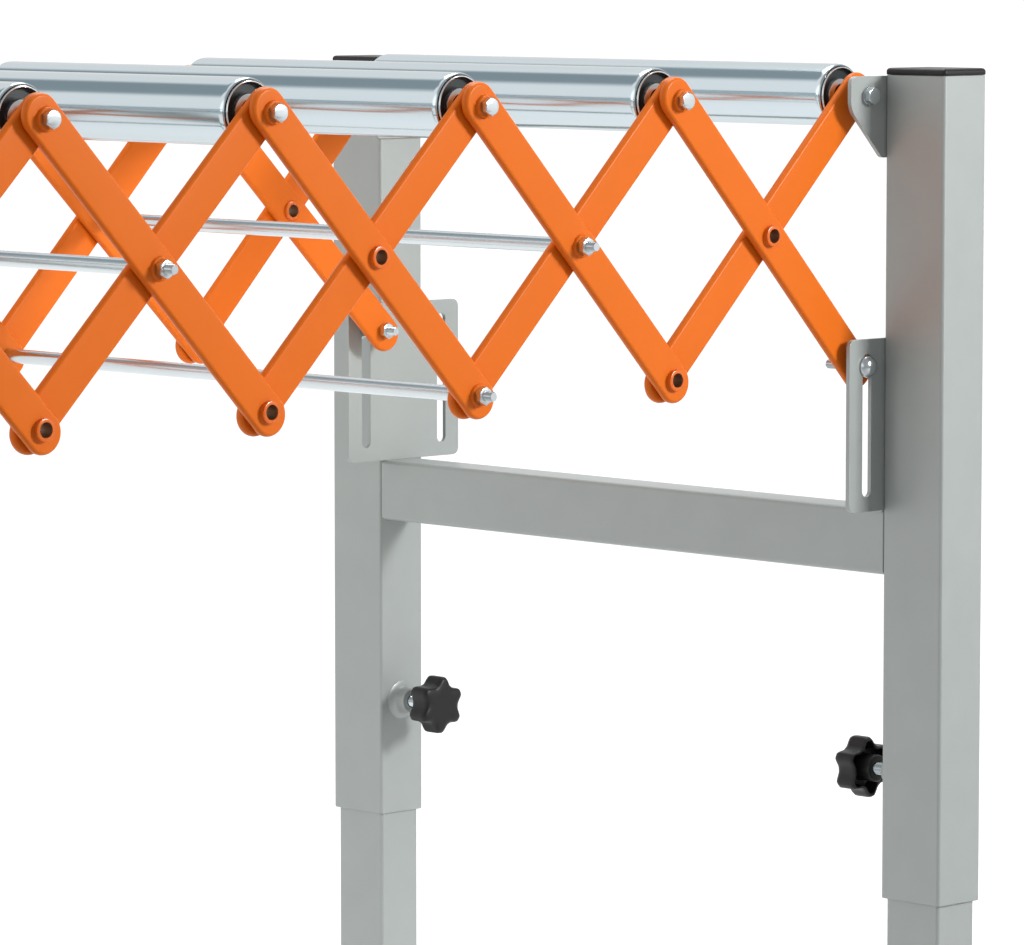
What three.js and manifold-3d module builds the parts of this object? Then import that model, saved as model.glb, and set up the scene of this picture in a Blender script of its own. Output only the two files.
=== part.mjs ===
// Expanding roller stand: two telescopic end frames joined by a scissor lattice that carries free rollers.
// Millimetres. +X runs along the lattice, +Y from the near side to the far side, +Z up.
// The origin is on the floor, under the middle of the stand.
import * as THREE from 'three';
import { mergeVertices } from 'three/addons/utils/BufferGeometryUtils.js';
import Module from 'manifold-3d';

const wasm = await Module();
wasm.setup();

// Lattice
const CELLS = 5;
const HOLE_PITCH = 120;
const CELL_LENGTH = 167;
const OPENING_RESERVE = 4;
const FOLDED_ROLLER_GAP = 4.5;
const BAR_WIDTH = 25;
const BAR_THICKNESS = 6;
const BAR_TIP = 15.5;
const LAYER_GAP = 0.9;
const BAR_LEAN = 5.2;
const ROD_EVERY = 2;
const LOWER_ROD_INDEX = 2;

// Rollers and their axles
const ROLLER_DIAMETER = 40;
const ROLLER_LENGTH = 430;
const ROLLER_WALL = 1.5;
const ROLLER_END_DEPTH = 12;
const ROLLER_DISH_DEPTH = 3;
const ROLLER_RIM_WIDTH = 3;
const ROLLER_RIM_CHAMFER = 2;
const ROLLER_GAP = 6.6;
const AXLE_DIAMETER = 10;

// Pivot hardware
const PIVOT_DIAMETER = 6;
const HEX_FLATS = 10;
const HEAD_HEIGHT = 4.5;
const NUT_HEIGHT = 5;
const STUD_STICK_OUT = 4;
const WASHER_DIAMETER = 13;
const WASHER_THICKNESS = 1.2;
const SLEEVE_DIAMETER = 12;
const SLEEVE_SHORTEST = 2;
const TIE_ROD_DIAMETER = 9.5;
const RIVET_SHANK_DIAMETER = 10;
const RIVET_HEAD_DIAMETER = 13.5;
const RIVET_HEAD_HEIGHT = 3;
const RIVET_BORE = 8;

// Bolts that ride in the slots
const SLOT_BOLT_DIAMETER = 7.4;
const SLOT_BOLT_HEAD_DIAMETER = 14;
const SLOT_BOLT_HEAD_HEIGHT = 4.5;
const SLOT_NUT_FLATS = 13;
const SLOT_NUT_HEIGHT = 6.5;
const SLOT_BOLT_LENGTH = 36;

// Welded end frames
const LEG_X = 40;
const LEG_Y = 50;
const LEG_WALL = 2;
const LEG_LENGTH = 530;
const PIVOT_DROP = 13;
const PIVOT_OFFSET = 16;
const PLATE_THICKNESS = 3;
const PLATE_REACH = 32.5;
const PLATE_CORNER = 5;
const BRACKET_DROP = 0.6;
const BRACKET_HEIGHT = 52;
const BRACKET_EDGE = 21;
const BRACKET_FOOT = 3.3;
const SLOT_MARGIN = 9.5;
const SLOT_SPARE = 16;
const CROSSBAR_HEIGHT = 42;
const CROSSBAR_DEPTH = 30;
const CROSSBAR_WALL = 2;
const CROSSBAR_SETBACK = 0.5;
const VENT_WIDTH = 8;
const BOSS_DIAMETER = 18;
const BOSS_LENGTH = 11;
const WELD_SINK = 0.3;

// Telescopic legs, feet and caps
const INNER_LEG_WALL = 2;
const INNER_LEG_LENGTH = 420;
const REST_REACH = 170;
const FOOT_THICKNESS = 8;
const FOOT_LIP = 2;
const FOOT_PLUG_DEPTH = 25;
const CAP_THICKNESS = 4.2;
const CAP_PLUG_DEPTH = 12;

// Clamp knobs
const KNOB_RISE = 80;
const KNOB_DIAMETER = 40;
const KNOB_LOBES = 6;
const KNOB_LOBE_DEPTH = 4.4;
const KNOB_THICKNESS = 16;
const KNOB_HUB_DIAMETER = 19;
const KNOB_HUB_LENGTH = 6;
const KNOB_STAND_OFF = 10;
const KNOB_STUD_DIAMETER = 8;

// Clearances
const SIDE_CLEARANCE = 0.5;
const SEAT_GAP = 0.3;
const SLIDE_CLEARANCE = 0.5;
const HOLE_CLEARANCE = 0.5;
const SLOT_CLEARANCE = 0.4;
const CUT_OVERRUN = 5;
const MERGE_TOLERANCE = 1e-4;

// Facets of round shapes
const ROLLER_SIDES = 24;
const SHAFT_SIDES = 12;
const HEX_SIDES = 6;
const HOLE_SIDES = 12;
const TIP_SIDES = 5;
const CORNER_SIDES = 1;
const KNOB_STEPS_PER_LOBE = 6;

// Pivot positions in the shown setting
const barReach = 2 * HOLE_PITCH;
const barAngle = Math.asin(CELL_LENGTH / barReach);
const legTop = REST_REACH + LEG_LENGTH;
const topPivotZ = legTop - PIVOT_DROP;
const middlePivotZ = topPivotZ - HOLE_PITCH * Math.cos(barAngle);
const bottomPivotZ = topPivotZ - barReach * Math.cos(barAngle);
const latticeEndX = CELLS * CELL_LENGTH / 2;

// Distances from the middle plane to the faces stacked outwards on either side, at the top pivots
const rollerEnd = ROLLER_LENGTH / 2;
const innerBar = [rollerEnd + ROLLER_GAP, rollerEnd + ROLLER_GAP + BAR_THICKNESS];
const outerBar = [innerBar[1] + LAYER_GAP, innerBar[1] + LAYER_GAP + BAR_THICKNESS];
const plate = [outerBar[1] + SIDE_CLEARANCE, outerBar[1] + SIDE_CLEARANCE + PLATE_THICKNESS];
const legInner = plate[1] - WELD_SINK;
const legCentreY = legInner + LEG_Y / 2;

// Right end frame, drawn with the lattice on its -X side
const legFaceX = latticeEndX + PIVOT_OFFSET;
const legCentreX = legFaceX + LEG_X / 2;
const slotRadius = SLOT_BOLT_DIAMETER / 2 + SLOT_CLEARANCE;
const openAngle = Math.asin((CELL_LENGTH + OPENING_RESERVE) / barReach);
const foldedAngle = Math.asin((ROLLER_DIAMETER + FOLDED_ROLLER_GAP) / barReach);
const slotHighZ = topPivotZ - barReach * Math.cos(openAngle);
const slotLowZ = topPivotZ - barReach * Math.cos(foldedAngle) - SLOT_SPARE;
const slotPlateTopZ = slotHighZ + slotRadius + SLOT_MARGIN;
const crossbarTopZ = slotLowZ - slotRadius - SLOT_MARGIN;
const knobZ = REST_REACH + KNOB_RISE;

// Bores of the outer legs, the inner legs that slide in them, and the bores of those
const legBore = [LEG_X - 2 * LEG_WALL, LEG_Y - 2 * LEG_WALL];
const innerSize = legBore.map((size) => size - 2 * SLIDE_CLEARANCE);
const innerBore = innerSize.map((size) => size - 2 * INNER_LEG_WALL);

const steelGrey = new THREE.MeshStandardMaterial({ color: 0x9a9f9c, roughness: 0.45, metalness: 0.35 });
const orangePaint = new THREE.MeshStandardMaterial({ color: 0xe8701e, roughness: 0.4, metalness: 0.0 });
const zincPlate = new THREE.MeshStandardMaterial({ color: 0xd3dade, roughness: 0.22, metalness: 0.95 });
const blackPlastic = new THREE.MeshStandardMaterial({ color: 0x1c1c1c, roughness: 0.55, metalness: 0.0 });
const blackRubber = new THREE.MeshStandardMaterial({ color: 0x161616, roughness: 0.85, metalness: 0.0 });

// A closed solid from a geometry, with its shared corners merged and its empty triangles dropped
function solid(geometry) {
  const bare = geometry.clone();
  bare.deleteAttribute('normal');
  bare.deleteAttribute('uv');
  const merged = mergeVertices(bare, MERGE_TOLERANCE);
  const corners = merged.index.array;
  const kept = [];
  for (let i = 0; i < corners.length; i += 3) {
    const [a, b, c] = [corners[i], corners[i + 1], corners[i + 2]];
    if (a !== b && b !== c && c !== a) {
      kept.push(a, b, c);
    }
  }
  const vertProperties = Float32Array.from(merged.attributes.position.array);
  return new wasm.Manifold(new wasm.Mesh({ numProp: 3, vertProperties, triVerts: Uint32Array.from(kept) }));
}

// The geometry of a finished solid
function geometryOf(body) {
  const { vertProperties, triVerts } = body.getMesh();
  const geometry = new THREE.BufferGeometry();
  geometry.setAttribute('position', new THREE.BufferAttribute(Float32Array.from(vertProperties), 3));
  geometry.setIndex(new THREE.BufferAttribute(Uint32Array.from(triVerts), 1));
  geometry.computeVertexNormals();
  return geometry;
}

function union(bodies) {
  return bodies.reduce((whole, body) => whole.add(body));
}

// A box between its limits
function box([x0, x1], [y0, y1], [z0, z1]) {
  const geometry = new THREE.BoxGeometry(x1 - x0, y1 - y0, z1 - z0);
  return solid(geometry.translate((x0 + x1) / 2, (y0 + y1) / 2, (z0 + z1) / 2));
}

// A cylinder or regular prism along Y, at (x, z), between two values of y
function shaft(diameter, [y0, y1], x = 0, z = 0, sides = SHAFT_SIDES) {
  const radius = diameter / 2;
  const geometry = new THREE.CylinderGeometry(radius, radius, Math.abs(y1 - y0), sides);
  return solid(geometry.translate(x, (y0 + y1) / 2, z));
}

function hexPrism(flats, span) {
  return shaft(flats / Math.cos(Math.PI / HEX_SIDES), span, 0, 0, HEX_SIDES);
}

// A flat outline in X and Z, made solid between two values of y
function slab(shape, [y0, y1], curveSegments = HOLE_SIDES) {
  const depth = Math.abs(y1 - y0);
  const geometry = new THREE.ExtrudeGeometry(shape, { depth, bevelEnabled: false, curveSegments });
  return solid(geometry.rotateX(Math.PI / 2).translate(0, Math.max(y0, y1), 0));
}

// A span of distances from the middle plane, as values of y on one side
function sideSpan(side, [d0, d1]) {
  return side < 0 ? [-d1, -d0] : [d0, d1];
}

function roundedRectangle(x0, x1, z0, z1, radius) {
  const shape = new THREE.Shape();
  shape.moveTo(x0 + radius, z0);
  shape.lineTo(x1 - radius, z0);
  shape.absarc(x1 - radius, z0 + radius, radius, -Math.PI / 2, 0);
  shape.lineTo(x1, z1 - radius);
  shape.absarc(x1 - radius, z1 - radius, radius, 0, Math.PI / 2);
  shape.lineTo(x0 + radius, z1);
  shape.absarc(x0 + radius, z1 - radius, radius, Math.PI / 2, Math.PI);
  shape.lineTo(x0, z0 + radius);
  shape.absarc(x0 + radius, z0 + radius, radius, Math.PI, 1.5 * Math.PI);
  return shape;
}

const group = new THREE.Group();

function place(parent, name, body, material) {
  const mesh = new THREE.Mesh(geometryOf(body), material);
  mesh.name = name;
  parent.add(mesh);
  return mesh;
}

// What goes through each pivot: the middle ones and the lower ones, counted from the right end
function middleFastener(k) {
  return k % ROD_EVERY === 0 ? 'rod' : 'rivet';
}

function lowerFastener(k) {
  if (k === 0 || k === CELLS) {
    return 'slot bolt';
  }
  return k === LOWER_ROD_INDEX ? 'rod' : 'rivet';
}

const topX = (k) => latticeEndX - k * CELL_LENGTH;
const middleX = (k) => latticeEndX - (k - 0.5) * CELL_LENGTH;

const boreOf = {
  axle: PIVOT_DIAMETER + 2 * HOLE_CLEARANCE,
  rod: PIVOT_DIAMETER + 2 * HOLE_CLEARANCE,
  rivet: RIVET_SHANK_DIAMETER + 2 * HOLE_CLEARANCE,
  'slot bolt': SLOT_BOLT_DIAMETER + 2 * HOLE_CLEARANCE,
};

// A hollow rivet along Y: its head stands on the outer bar and its tail holds the inner bar
function rivet(side, height) {
  const tail = innerBar[0] - SEAT_GAP;
  return union([
    shaft(RIVET_HEAD_DIAMETER, sideSpan(side, [outerBar[0], outerBar[1] + RIVET_HEAD_HEIGHT]), 0, height),
    shaft(RIVET_SHANK_DIAMETER, sideSpan(side, [tail - RIVET_HEAD_HEIGHT, outerBar[1]]), 0, height),
    shaft(RIVET_HEAD_DIAMETER, sideSpan(side, [innerBar[1] + SEAT_GAP, outerBar[1]]), 0, height),
    shaft(RIVET_HEAD_DIAMETER, sideSpan(side, [tail - RIVET_HEAD_HEIGHT, tail]), 0, height),
  ]);
}

// A bar layer at a pivot below the top, where the bars lean inwards
function leaned(layer, height) {
  return layer.map((distance) => distance - BAR_LEAN * (HOLE_PITCH - height) / barReach);
}

// One lattice bar, upright, with its middle hole at the origin; outer bars carry the rivets
function bar(side, layer, fasteners) {
  const span = sideSpan(side, layer);
  const radius = BAR_WIDTH / 2;
  const tipCentre = HOLE_PITCH + BAR_TIP - radius;
  const outline = new THREE.Shape();
  outline.absarc(0, tipCentre, radius, 0, Math.PI);
  outline.absarc(0, -tipCentre, radius, Math.PI, 2 * Math.PI);
  let body = slab(outline, span, TIP_SIDES);
  for (const [height, fastener] of fasteners) {
    if (layer === outerBar && fastener === 'rivet') {
      const bore = sideSpan(side, [innerBar[0] - CUT_OVERRUN, outerBar[1] + CUT_OVERRUN]);
      body = body.add(rivet(side, height)).subtract(shaft(RIVET_BORE, bore, 0, height, HOLE_SIDES));
    } else {
      const hole = sideSpan(side, [layer[0] - CUT_OVERRUN, layer[1] + CUT_OVERRUN]);
      body = body.subtract(shaft(boreOf[fastener], hole, 0, height, HOLE_SIDES));
    }
  }
  const slope = side * BAR_LEAN / barReach;
  const lean = new THREE.Matrix4().set(1, 0, 0, 0, 0, 1, slope, -slope * HOLE_PITCH, 0, 0, 1, 0, 0, 0, 0, 1);
  return body.transform(lean.elements);
}

// Bars: those rising to the right hang on the roller to their right, those falling on the one to their left
function buildBars() {
  for (const [side, sideName] of [[-1, 'near'], [1, 'far']]) {
    for (let k = 1; k <= CELLS; k += 1) {
      const rising = [[HOLE_PITCH, 'axle'], [0, middleFastener(k)], [-HOLE_PITCH, lowerFastener(k)]];
      const falling = [[HOLE_PITCH, 'axle'], [0, middleFastener(k)], [-HOLE_PITCH, lowerFastener(k - 1)]];
      const risingLayer = side < 0 ? innerBar : outerBar;
      const fallingLayer = side < 0 ? outerBar : innerBar;
      const risingBody = bar(side, risingLayer, rising);
      const fallingBody = bar(side, fallingLayer, falling);
      const risingBar = place(group, `${sideName}_bar_rising_${k}`, risingBody, orangePaint);
      const fallingBar = place(group, `${sideName}_bar_falling_${k}`, fallingBody, orangePaint);
      risingBar.rotation.y = barAngle;
      fallingBar.rotation.y = -barAngle;
      risingBar.position.set(middleX(k), 0, middlePivotZ);
      fallingBar.position.copy(risingBar.position);
    }
  }
}

// Roller: a thin tube with a dished, bored end pressed into each mouth, hollow between them
function roller() {
  const radius = ROLLER_DIAMETER / 2;
  const bore = AXLE_DIAMETER / 2 + HOLE_CLEARANCE;
  const dish = radius - ROLLER_RIM_WIDTH;
  const half = [
    [radius, rollerEnd - ROLLER_RIM_CHAMFER],
    [radius - ROLLER_RIM_CHAMFER, rollerEnd],
    [dish, rollerEnd],
    [dish, rollerEnd - ROLLER_DISH_DEPTH],
    [bore, rollerEnd - ROLLER_DISH_DEPTH],
    [bore, rollerEnd - ROLLER_END_DEPTH],
    [radius - ROLLER_WALL, rollerEnd - ROLLER_END_DEPTH],
  ];
  const mirrored = half.map(([r, y]) => [r, -y]).reverse();
  const outline = [...half, ...mirrored, half[0]].map(([r, y]) => new THREE.Vector2(r, y));
  return solid(new THREE.LatheGeometry(outline, ROLLER_SIDES));
}

// What an axle passes on its way out at one top pivot, from the roller outwards
function axleStack(k, side) {
  const stack = [];
  const hasRising = k < CELLS;
  const hasFalling = k > 0;
  if (side < 0 ? hasRising : hasFalling) {
    stack.push(innerBar);
  }
  if (side < 0 ? hasFalling : hasRising) {
    stack.push(outerBar);
  }
  if (k === 0 || k === CELLS) {
    stack.push(plate);
  }
  return stack;
}

// Sleeves that fill the wide spaces of a stack, and the distance where the stack ends
function sleeves(side, start, stack) {
  const bodies = [];
  let from = start;
  for (const [inner, outer] of stack) {
    if (inner - from > SLEEVE_SHORTEST) {
      bodies.push(shaft(SLEEVE_DIAMETER, sideSpan(side, [from + SEAT_GAP, inner - SEAT_GAP])));
    }
    from = outer;
  }
  return { bodies, end: from };
}

function hexHead(side, seat, height) {
  const washer = [seat + SEAT_GAP, seat + SEAT_GAP + WASHER_THICKNESS];
  return [
    shaft(WASHER_DIAMETER, sideSpan(side, washer)),
    hexPrism(HEX_FLATS, sideSpan(side, [washer[0], washer[1] + height])),
  ];
}

function rollerAxle(k) {
  const shoulder = innerBar[0] - SEAT_GAP;
  const bodies = [shaft(AXLE_DIAMETER, [-shoulder, shoulder])];
  for (const side of [-1, 1]) {
    const { bodies: spacers, end } = sleeves(side, rollerEnd, axleStack(k, side));
    bodies.push(...spacers, ...hexHead(side, end, HEAD_HEIGHT));
    bodies.push(shaft(PIVOT_DIAMETER, sideSpan(side, [0, end + HEAD_HEIGHT])));
  }
  return union(bodies);
}

// Tie rod at a given height of the bars that it joins
function tieRod(height) {
  const shoulder = leaned(innerBar, height)[0] - SEAT_GAP;
  const bodies = [shaft(TIE_ROD_DIAMETER, [-shoulder, shoulder])];
  for (const side of [-1, 1]) {
    const end = leaned(outerBar, height)[1];
    const tip = end + SEAT_GAP + WASHER_THICKNESS + NUT_HEIGHT + STUD_STICK_OUT;
    bodies.push(...hexHead(side, end, NUT_HEIGHT));
    bodies.push(shaft(PIVOT_DIAMETER, sideSpan(side, [0, tip])));
  }
  return union(bodies);
}

function buildRollersAndRods() {
  for (let k = 0; k <= CELLS; k += 1) {
    const rollerMesh = place(group, `roller_${k + 1}`, roller(), zincPlate);
    const axleMesh = place(group, `roller_axle_${k + 1}`, rollerAxle(k), zincPlate);
    rollerMesh.position.set(topX(k), 0, topPivotZ);
    axleMesh.position.copy(rollerMesh.position);
  }
  let upper = 0;
  let lower = 0;
  for (let k = 1; k <= CELLS; k += 1) {
    if (middleFastener(k) === 'rod') {
      upper += 1;
      place(group, `upper_tie_rod_${upper}`, tieRod(0), zincPlate).position.set(middleX(k), 0, middlePivotZ);
    }
    if (lowerFastener(k) === 'rod') {
      lower += 1;
      const rod = place(group, `lower_tie_rod_${lower}`, tieRod(-HOLE_PITCH), zincPlate);
      rod.position.set(topX(k), 0, bottomPivotZ);
    }
  }
}

// Slot bolt: a domed head outside the plate, a nut on the bar and a long stud past the nut
function slotBolt(side, layer) {
  const headSeat = plate[1] + SEAT_GAP;
  const nutSeat = layer[0] - SEAT_GAP;
  const tip = headSeat - SLOT_BOLT_LENGTH;
  const headTop = headSeat + SLOT_BOLT_HEAD_HEIGHT;
  const rim = headSeat + SLOT_BOLT_HEAD_HEIGHT / 2;
  const bodies = [
    shaft(SLOT_BOLT_DIAMETER, sideSpan(side, [tip, headTop])),
    shaft(SLOT_BOLT_HEAD_DIAMETER, sideSpan(side, [headSeat, rim])),
    shaft((SLOT_BOLT_HEAD_DIAMETER + SLOT_BOLT_DIAMETER) / 2, sideSpan(side, [headSeat, headTop])),
    hexPrism(SLOT_NUT_FLATS, sideSpan(side, [nutSeat - SLOT_NUT_HEIGHT, nutSeat])),
  ];
  if (plate[0] - layer[1] > SLEEVE_SHORTEST) {
    bodies.push(shaft(SLEEVE_DIAMETER, sideSpan(side, [layer[1] + SEAT_GAP, plate[0] - SEAT_GAP])));
  }
  return union(bodies);
}

// Bracket at the top of a leg: a plate with a square shoulder and a slanted lower edge on both sides
function bracketOutline() {
  const top = legTop - BRACKET_DROP;
  const reach = LEG_X / 2 + PLATE_REACH;
  const foot = LEG_X / 2 + BRACKET_FOOT;
  const shape = new THREE.Shape();
  shape.moveTo(legCentreX - foot, top - BRACKET_HEIGHT);
  shape.lineTo(legCentreX + foot, top - BRACKET_HEIGHT);
  shape.lineTo(legCentreX + reach, top - BRACKET_EDGE);
  shape.absarc(legCentreX + reach - PLATE_CORNER, top - PLATE_CORNER, PLATE_CORNER, 0, Math.PI / 2);
  shape.absarc(legCentreX - reach + PLATE_CORNER, top - PLATE_CORNER, PLATE_CORNER, Math.PI / 2, Math.PI);
  shape.lineTo(legCentreX - reach, top - BRACKET_EDGE);
  return shape;
}

function slotOutline(x) {
  const shape = new THREE.Shape();
  shape.absarc(x, slotHighZ, slotRadius, 0, Math.PI);
  shape.absarc(x, slotLowZ, slotRadius, Math.PI, 2 * Math.PI);
  return shape;
}

// Plates welded to the inner face of one leg: a bored bracket and a slotted plate, with a wing on either side
function legPlates(side) {
  const span = sideSpan(side, plate);
  const cut = sideSpan(side, [plate[0] - CUT_OVERRUN, plate[1] + CUT_OVERRUN]);
  const reach = LEG_X / 2 + PLATE_REACH;
  const outline = roundedRectangle(
    legCentreX - reach, legCentreX + reach, crossbarTopZ - WELD_SINK, slotPlateTopZ, PLATE_CORNER,
  );
  let bracket = slab(bracketOutline(), span, CORNER_SIDES);
  let slotted = slab(outline, span, CORNER_SIDES);
  for (const wing of [-1, 1]) {
    const x = legCentreX + wing * (LEG_X / 2 + PIVOT_OFFSET);
    bracket = bracket.subtract(shaft(boreOf.axle, cut, x, topPivotZ, HOLE_SIDES));
    slotted = slotted.subtract(slab(slotOutline(x), cut, TIP_SIDES));
  }
  return [bracket, slotted];
}

// One end frame: two square tubes, a crossbar and the plates and clamp bosses welded to them
function endFrame() {
  const x = [legFaceX, legFaceX + LEG_X];
  const bore = [legFaceX + LEG_WALL, legFaceX + LEG_X - LEG_WALL];
  const weld = legInner + WELD_SINK;
  const crossX = [legFaceX + CROSSBAR_SETBACK, legFaceX + CROSSBAR_SETBACK + CROSSBAR_DEPTH];
  const crossZ = [crossbarTopZ - CROSSBAR_HEIGHT, crossbarTopZ];
  const bodies = [box(crossX, [-weld, weld], crossZ)];
  const cuts = [box(
    [crossX[0] + CROSSBAR_WALL, crossX[1] - CROSSBAR_WALL],
    [-legInner, legInner],
    [crossZ[0] + CROSSBAR_WALL, crossZ[1] - CROSSBAR_WALL],
  )];
  for (const side of [-1, 1]) {
    const tube = box(x, sideSpan(side, [legInner, legInner + LEG_Y]), [REST_REACH, legTop]);
    const hollow = sideSpan(side, [legInner + LEG_WALL, legInner + LEG_Y - LEG_WALL]);
    const boss = sideSpan(side, [legInner - BOSS_LENGTH, weld]);
    const stud = sideSpan(side, [legInner - BOSS_LENGTH - CUT_OVERRUN, legInner + LEG_WALL + CUT_OVERRUN]);
    const vent = box(
      [legCentreX - VENT_WIDTH, legCentreX],
      sideSpan(side, [legInner - 2 * VENT_WIDTH, legInner - VENT_WIDTH]),
      [crossZ[0] - CUT_OVERRUN, crossZ[0] + CROSSBAR_WALL + CUT_OVERRUN],
    );
    bodies.push(tube, ...legPlates(side), shaft(BOSS_DIAMETER, boss, legCentreX, knobZ));
    cuts.push(box(bore, hollow, [REST_REACH - CUT_OVERRUN, legTop + CUT_OVERRUN]), vent);
    cuts.push(shaft(KNOB_STUD_DIAMETER + 2 * HOLE_CLEARANCE, stud, legCentreX, knobZ, HOLE_SIDES));
  }
  return union(bodies).subtract(union(cuts));
}

// A box centred on one leg, wider than the given size by a margin all round
function legBox(side, [sizeX, sizeY], margin, z) {
  const halfX = sizeX / 2 + margin;
  const halfY = sizeY / 2 + margin;
  const y = side * legCentreY;
  return box([legCentreX - halfX, legCentreX + halfX], [y - halfY, y + halfY], z);
}

function topCap(side) {
  const seat = legTop + SEAT_GAP;
  const plug = legBox(side, legBore, -SEAT_GAP, [legTop - CAP_PLUG_DEPTH, seat + WELD_SINK]);
  return plug.add(legBox(side, [LEG_X, LEG_Y], 0, [seat, seat + CAP_THICKNESS]));
}

function innerLeg(side) {
  const bottom = FOOT_THICKNESS + SEAT_GAP;
  const top = bottom + INNER_LEG_LENGTH;
  const tube = legBox(side, innerSize, 0, [bottom, top]);
  return tube.subtract(legBox(side, innerBore, 0, [bottom - CUT_OVERRUN, top + CUT_OVERRUN]));
}

function foot(side) {
  const plugZ = [FOOT_THICKNESS - WELD_SINK, FOOT_THICKNESS + FOOT_PLUG_DEPTH];
  const base = legBox(side, innerSize, FOOT_LIP, [0, FOOT_THICKNESS]);
  return base.add(legBox(side, innerBore, -SEAT_GAP, plugZ));
}

// Clamp knob: a lobed grip and hub on a stud that passes the boss and meets the inner leg
function clampKnob(side) {
  const steps = KNOB_LOBES * KNOB_STEPS_PER_LOBE;
  const mean = (KNOB_DIAMETER - KNOB_LOBE_DEPTH) / 2;
  const outline = new THREE.Shape();
  for (let i = 0; i < steps; i += 1) {
    const angle = 2 * Math.PI * i / steps;
    const radius = mean + KNOB_LOBE_DEPTH / 2 * Math.cos(KNOB_LOBES * angle);
    const point = [radius * Math.sin(angle), radius * Math.cos(angle)];
    if (i === 0) {
      outline.moveTo(...point);
    } else {
      outline.lineTo(...point);
    }
  }
  const hubSeat = legInner - BOSS_LENGTH - KNOB_STAND_OFF;
  const gripSeat = hubSeat - KNOB_HUB_LENGTH;
  const studEnd = legInner + LEG_WALL + SLIDE_CLEARANCE - SEAT_GAP;
  const bodies = [
    slab(outline, sideSpan(side, [gripSeat - KNOB_THICKNESS, gripSeat])),
    shaft(KNOB_HUB_DIAMETER, sideSpan(side, [gripSeat - KNOB_THICKNESS / 2, hubSeat])),
    shaft(KNOB_STUD_DIAMETER, sideSpan(side, [gripSeat, studEnd])),
  ];
  return union(bodies);
}

// Both ends are alike: the left one is the right one turned half round
function buildEnds() {
  for (const [endName, turn] of [['right', 0], ['left', Math.PI]]) {
    const end = new THREE.Group();
    end.rotation.z = turn;
    group.add(end);
    place(end, `${endName}_end_frame`, endFrame(), steelGrey);
    for (const side of [-1, 1]) {
      const sideName = (side < 0) === (turn === 0) ? 'near' : 'far';
      const layer = leaned(side < 0 ? outerBar : innerBar, -HOLE_PITCH);
      const prefix = `${endName}_${sideName}`;
      place(end, `${prefix}_top_cap`, topCap(side), blackPlastic);
      place(end, `${prefix}_inner_leg`, innerLeg(side), steelGrey);
      place(end, `${prefix}_foot`, foot(side), blackRubber);
      const knob = place(end, `${prefix}_clamp_knob`, clampKnob(side), blackPlastic);
      const bolt = place(end, `${prefix}_slot_bolt`, slotBolt(side, layer), zincPlate);
      knob.position.set(legCentreX, 0, knobZ);
      bolt.position.set(latticeEndX, 0, bottomPivotZ);
    }
  }
}

buildBars();
buildRollersAndRods();
buildEnds();

export default group;
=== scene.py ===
"""Looks of an expanding roller stand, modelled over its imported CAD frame.

Lengths are in millimetres while a piece is modelled, and in metres once it is finished.
"""

import logging
import math
from collections.abc import Callable, Iterable, Sequence
from dataclasses import dataclass, replace
from enum import Enum

import bmesh
import bpy
from bmesh.types import BMEdge, BMVert
from bpy.types import Material, NodeSocket, NodeTree
from mathutils import Matrix, Vector


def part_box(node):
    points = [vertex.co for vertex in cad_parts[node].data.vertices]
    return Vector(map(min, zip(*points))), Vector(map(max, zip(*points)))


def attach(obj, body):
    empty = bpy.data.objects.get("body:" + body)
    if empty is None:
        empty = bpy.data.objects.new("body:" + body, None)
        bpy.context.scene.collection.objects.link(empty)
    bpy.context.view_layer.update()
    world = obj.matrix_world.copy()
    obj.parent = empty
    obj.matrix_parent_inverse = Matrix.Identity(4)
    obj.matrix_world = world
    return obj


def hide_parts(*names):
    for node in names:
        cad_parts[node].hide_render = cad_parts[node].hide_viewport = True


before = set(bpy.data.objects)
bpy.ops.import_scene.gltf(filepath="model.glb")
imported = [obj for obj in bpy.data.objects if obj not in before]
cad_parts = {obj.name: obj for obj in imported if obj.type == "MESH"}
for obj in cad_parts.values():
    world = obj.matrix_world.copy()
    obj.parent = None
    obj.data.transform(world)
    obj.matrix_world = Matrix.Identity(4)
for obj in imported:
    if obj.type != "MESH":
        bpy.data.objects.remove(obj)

LOG = logging.getLogger("roller_stand")
MM = 0.001  # one millimetre in metres
CELLS = 5  # crossings along the lattice
CLEAR = 0.02  # gap between faces that touch
MERGE = 1e-4  # distance at which doubles merge
LEAST_CORNER = 0.2  # smallest corner radius of a section
CORNER_STEPS = 6  # faces round the corner of a plate
HEX_STEPS = 48  # vertices round a hex head or nut
HEX_FACE = 0.475  # radius of a hex head's flat face, as a share of the distance across flats
HEX_CHAMFER = math.radians(30.0)
THREAD_ROOT = 0.88  # radius of a thread's root, as a share of its crest
LEVELS_TO_Y = Matrix.Rotation(-math.pi / 2, 4, "X") @ Matrix.Scale(-1, 4, (0, 1, 0))

Point = tuple[float, float]
Triple = tuple[float, float, float]
Colour = Triple
Outline = Callable[[float], Point]


class Side(Enum):
    """The two long sides of the stand; the value is the sign of Y."""

    NEAR = -1
    FAR = 1

    @property
    def label(self) -> str:
        """Word for this side in piece names."""
        return self.name.lower()


class End(Enum):
    """The two end frames; the value is the sign of X."""

    RIGHT = 1
    LEFT = -1

    @property
    def label(self) -> str:
        """Word for this end in piece names."""
        return self.name.lower()


class Lean(Enum):
    """Which way a lattice bar leans; the value is the sign of its turn about Y."""

    RISING = 1
    FALLING = -1

    @property
    def label(self) -> str:
        """Word for this lean in piece names."""
        return self.name.lower()


class Slot(Enum):
    """Material slots of the record."""

    FRAME = "frame_paint"
    BAR = "bar_paint"
    ZINC = "zinc"
    PLASTIC = "black_plastic"
    RUBBER = "rubber"


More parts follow.
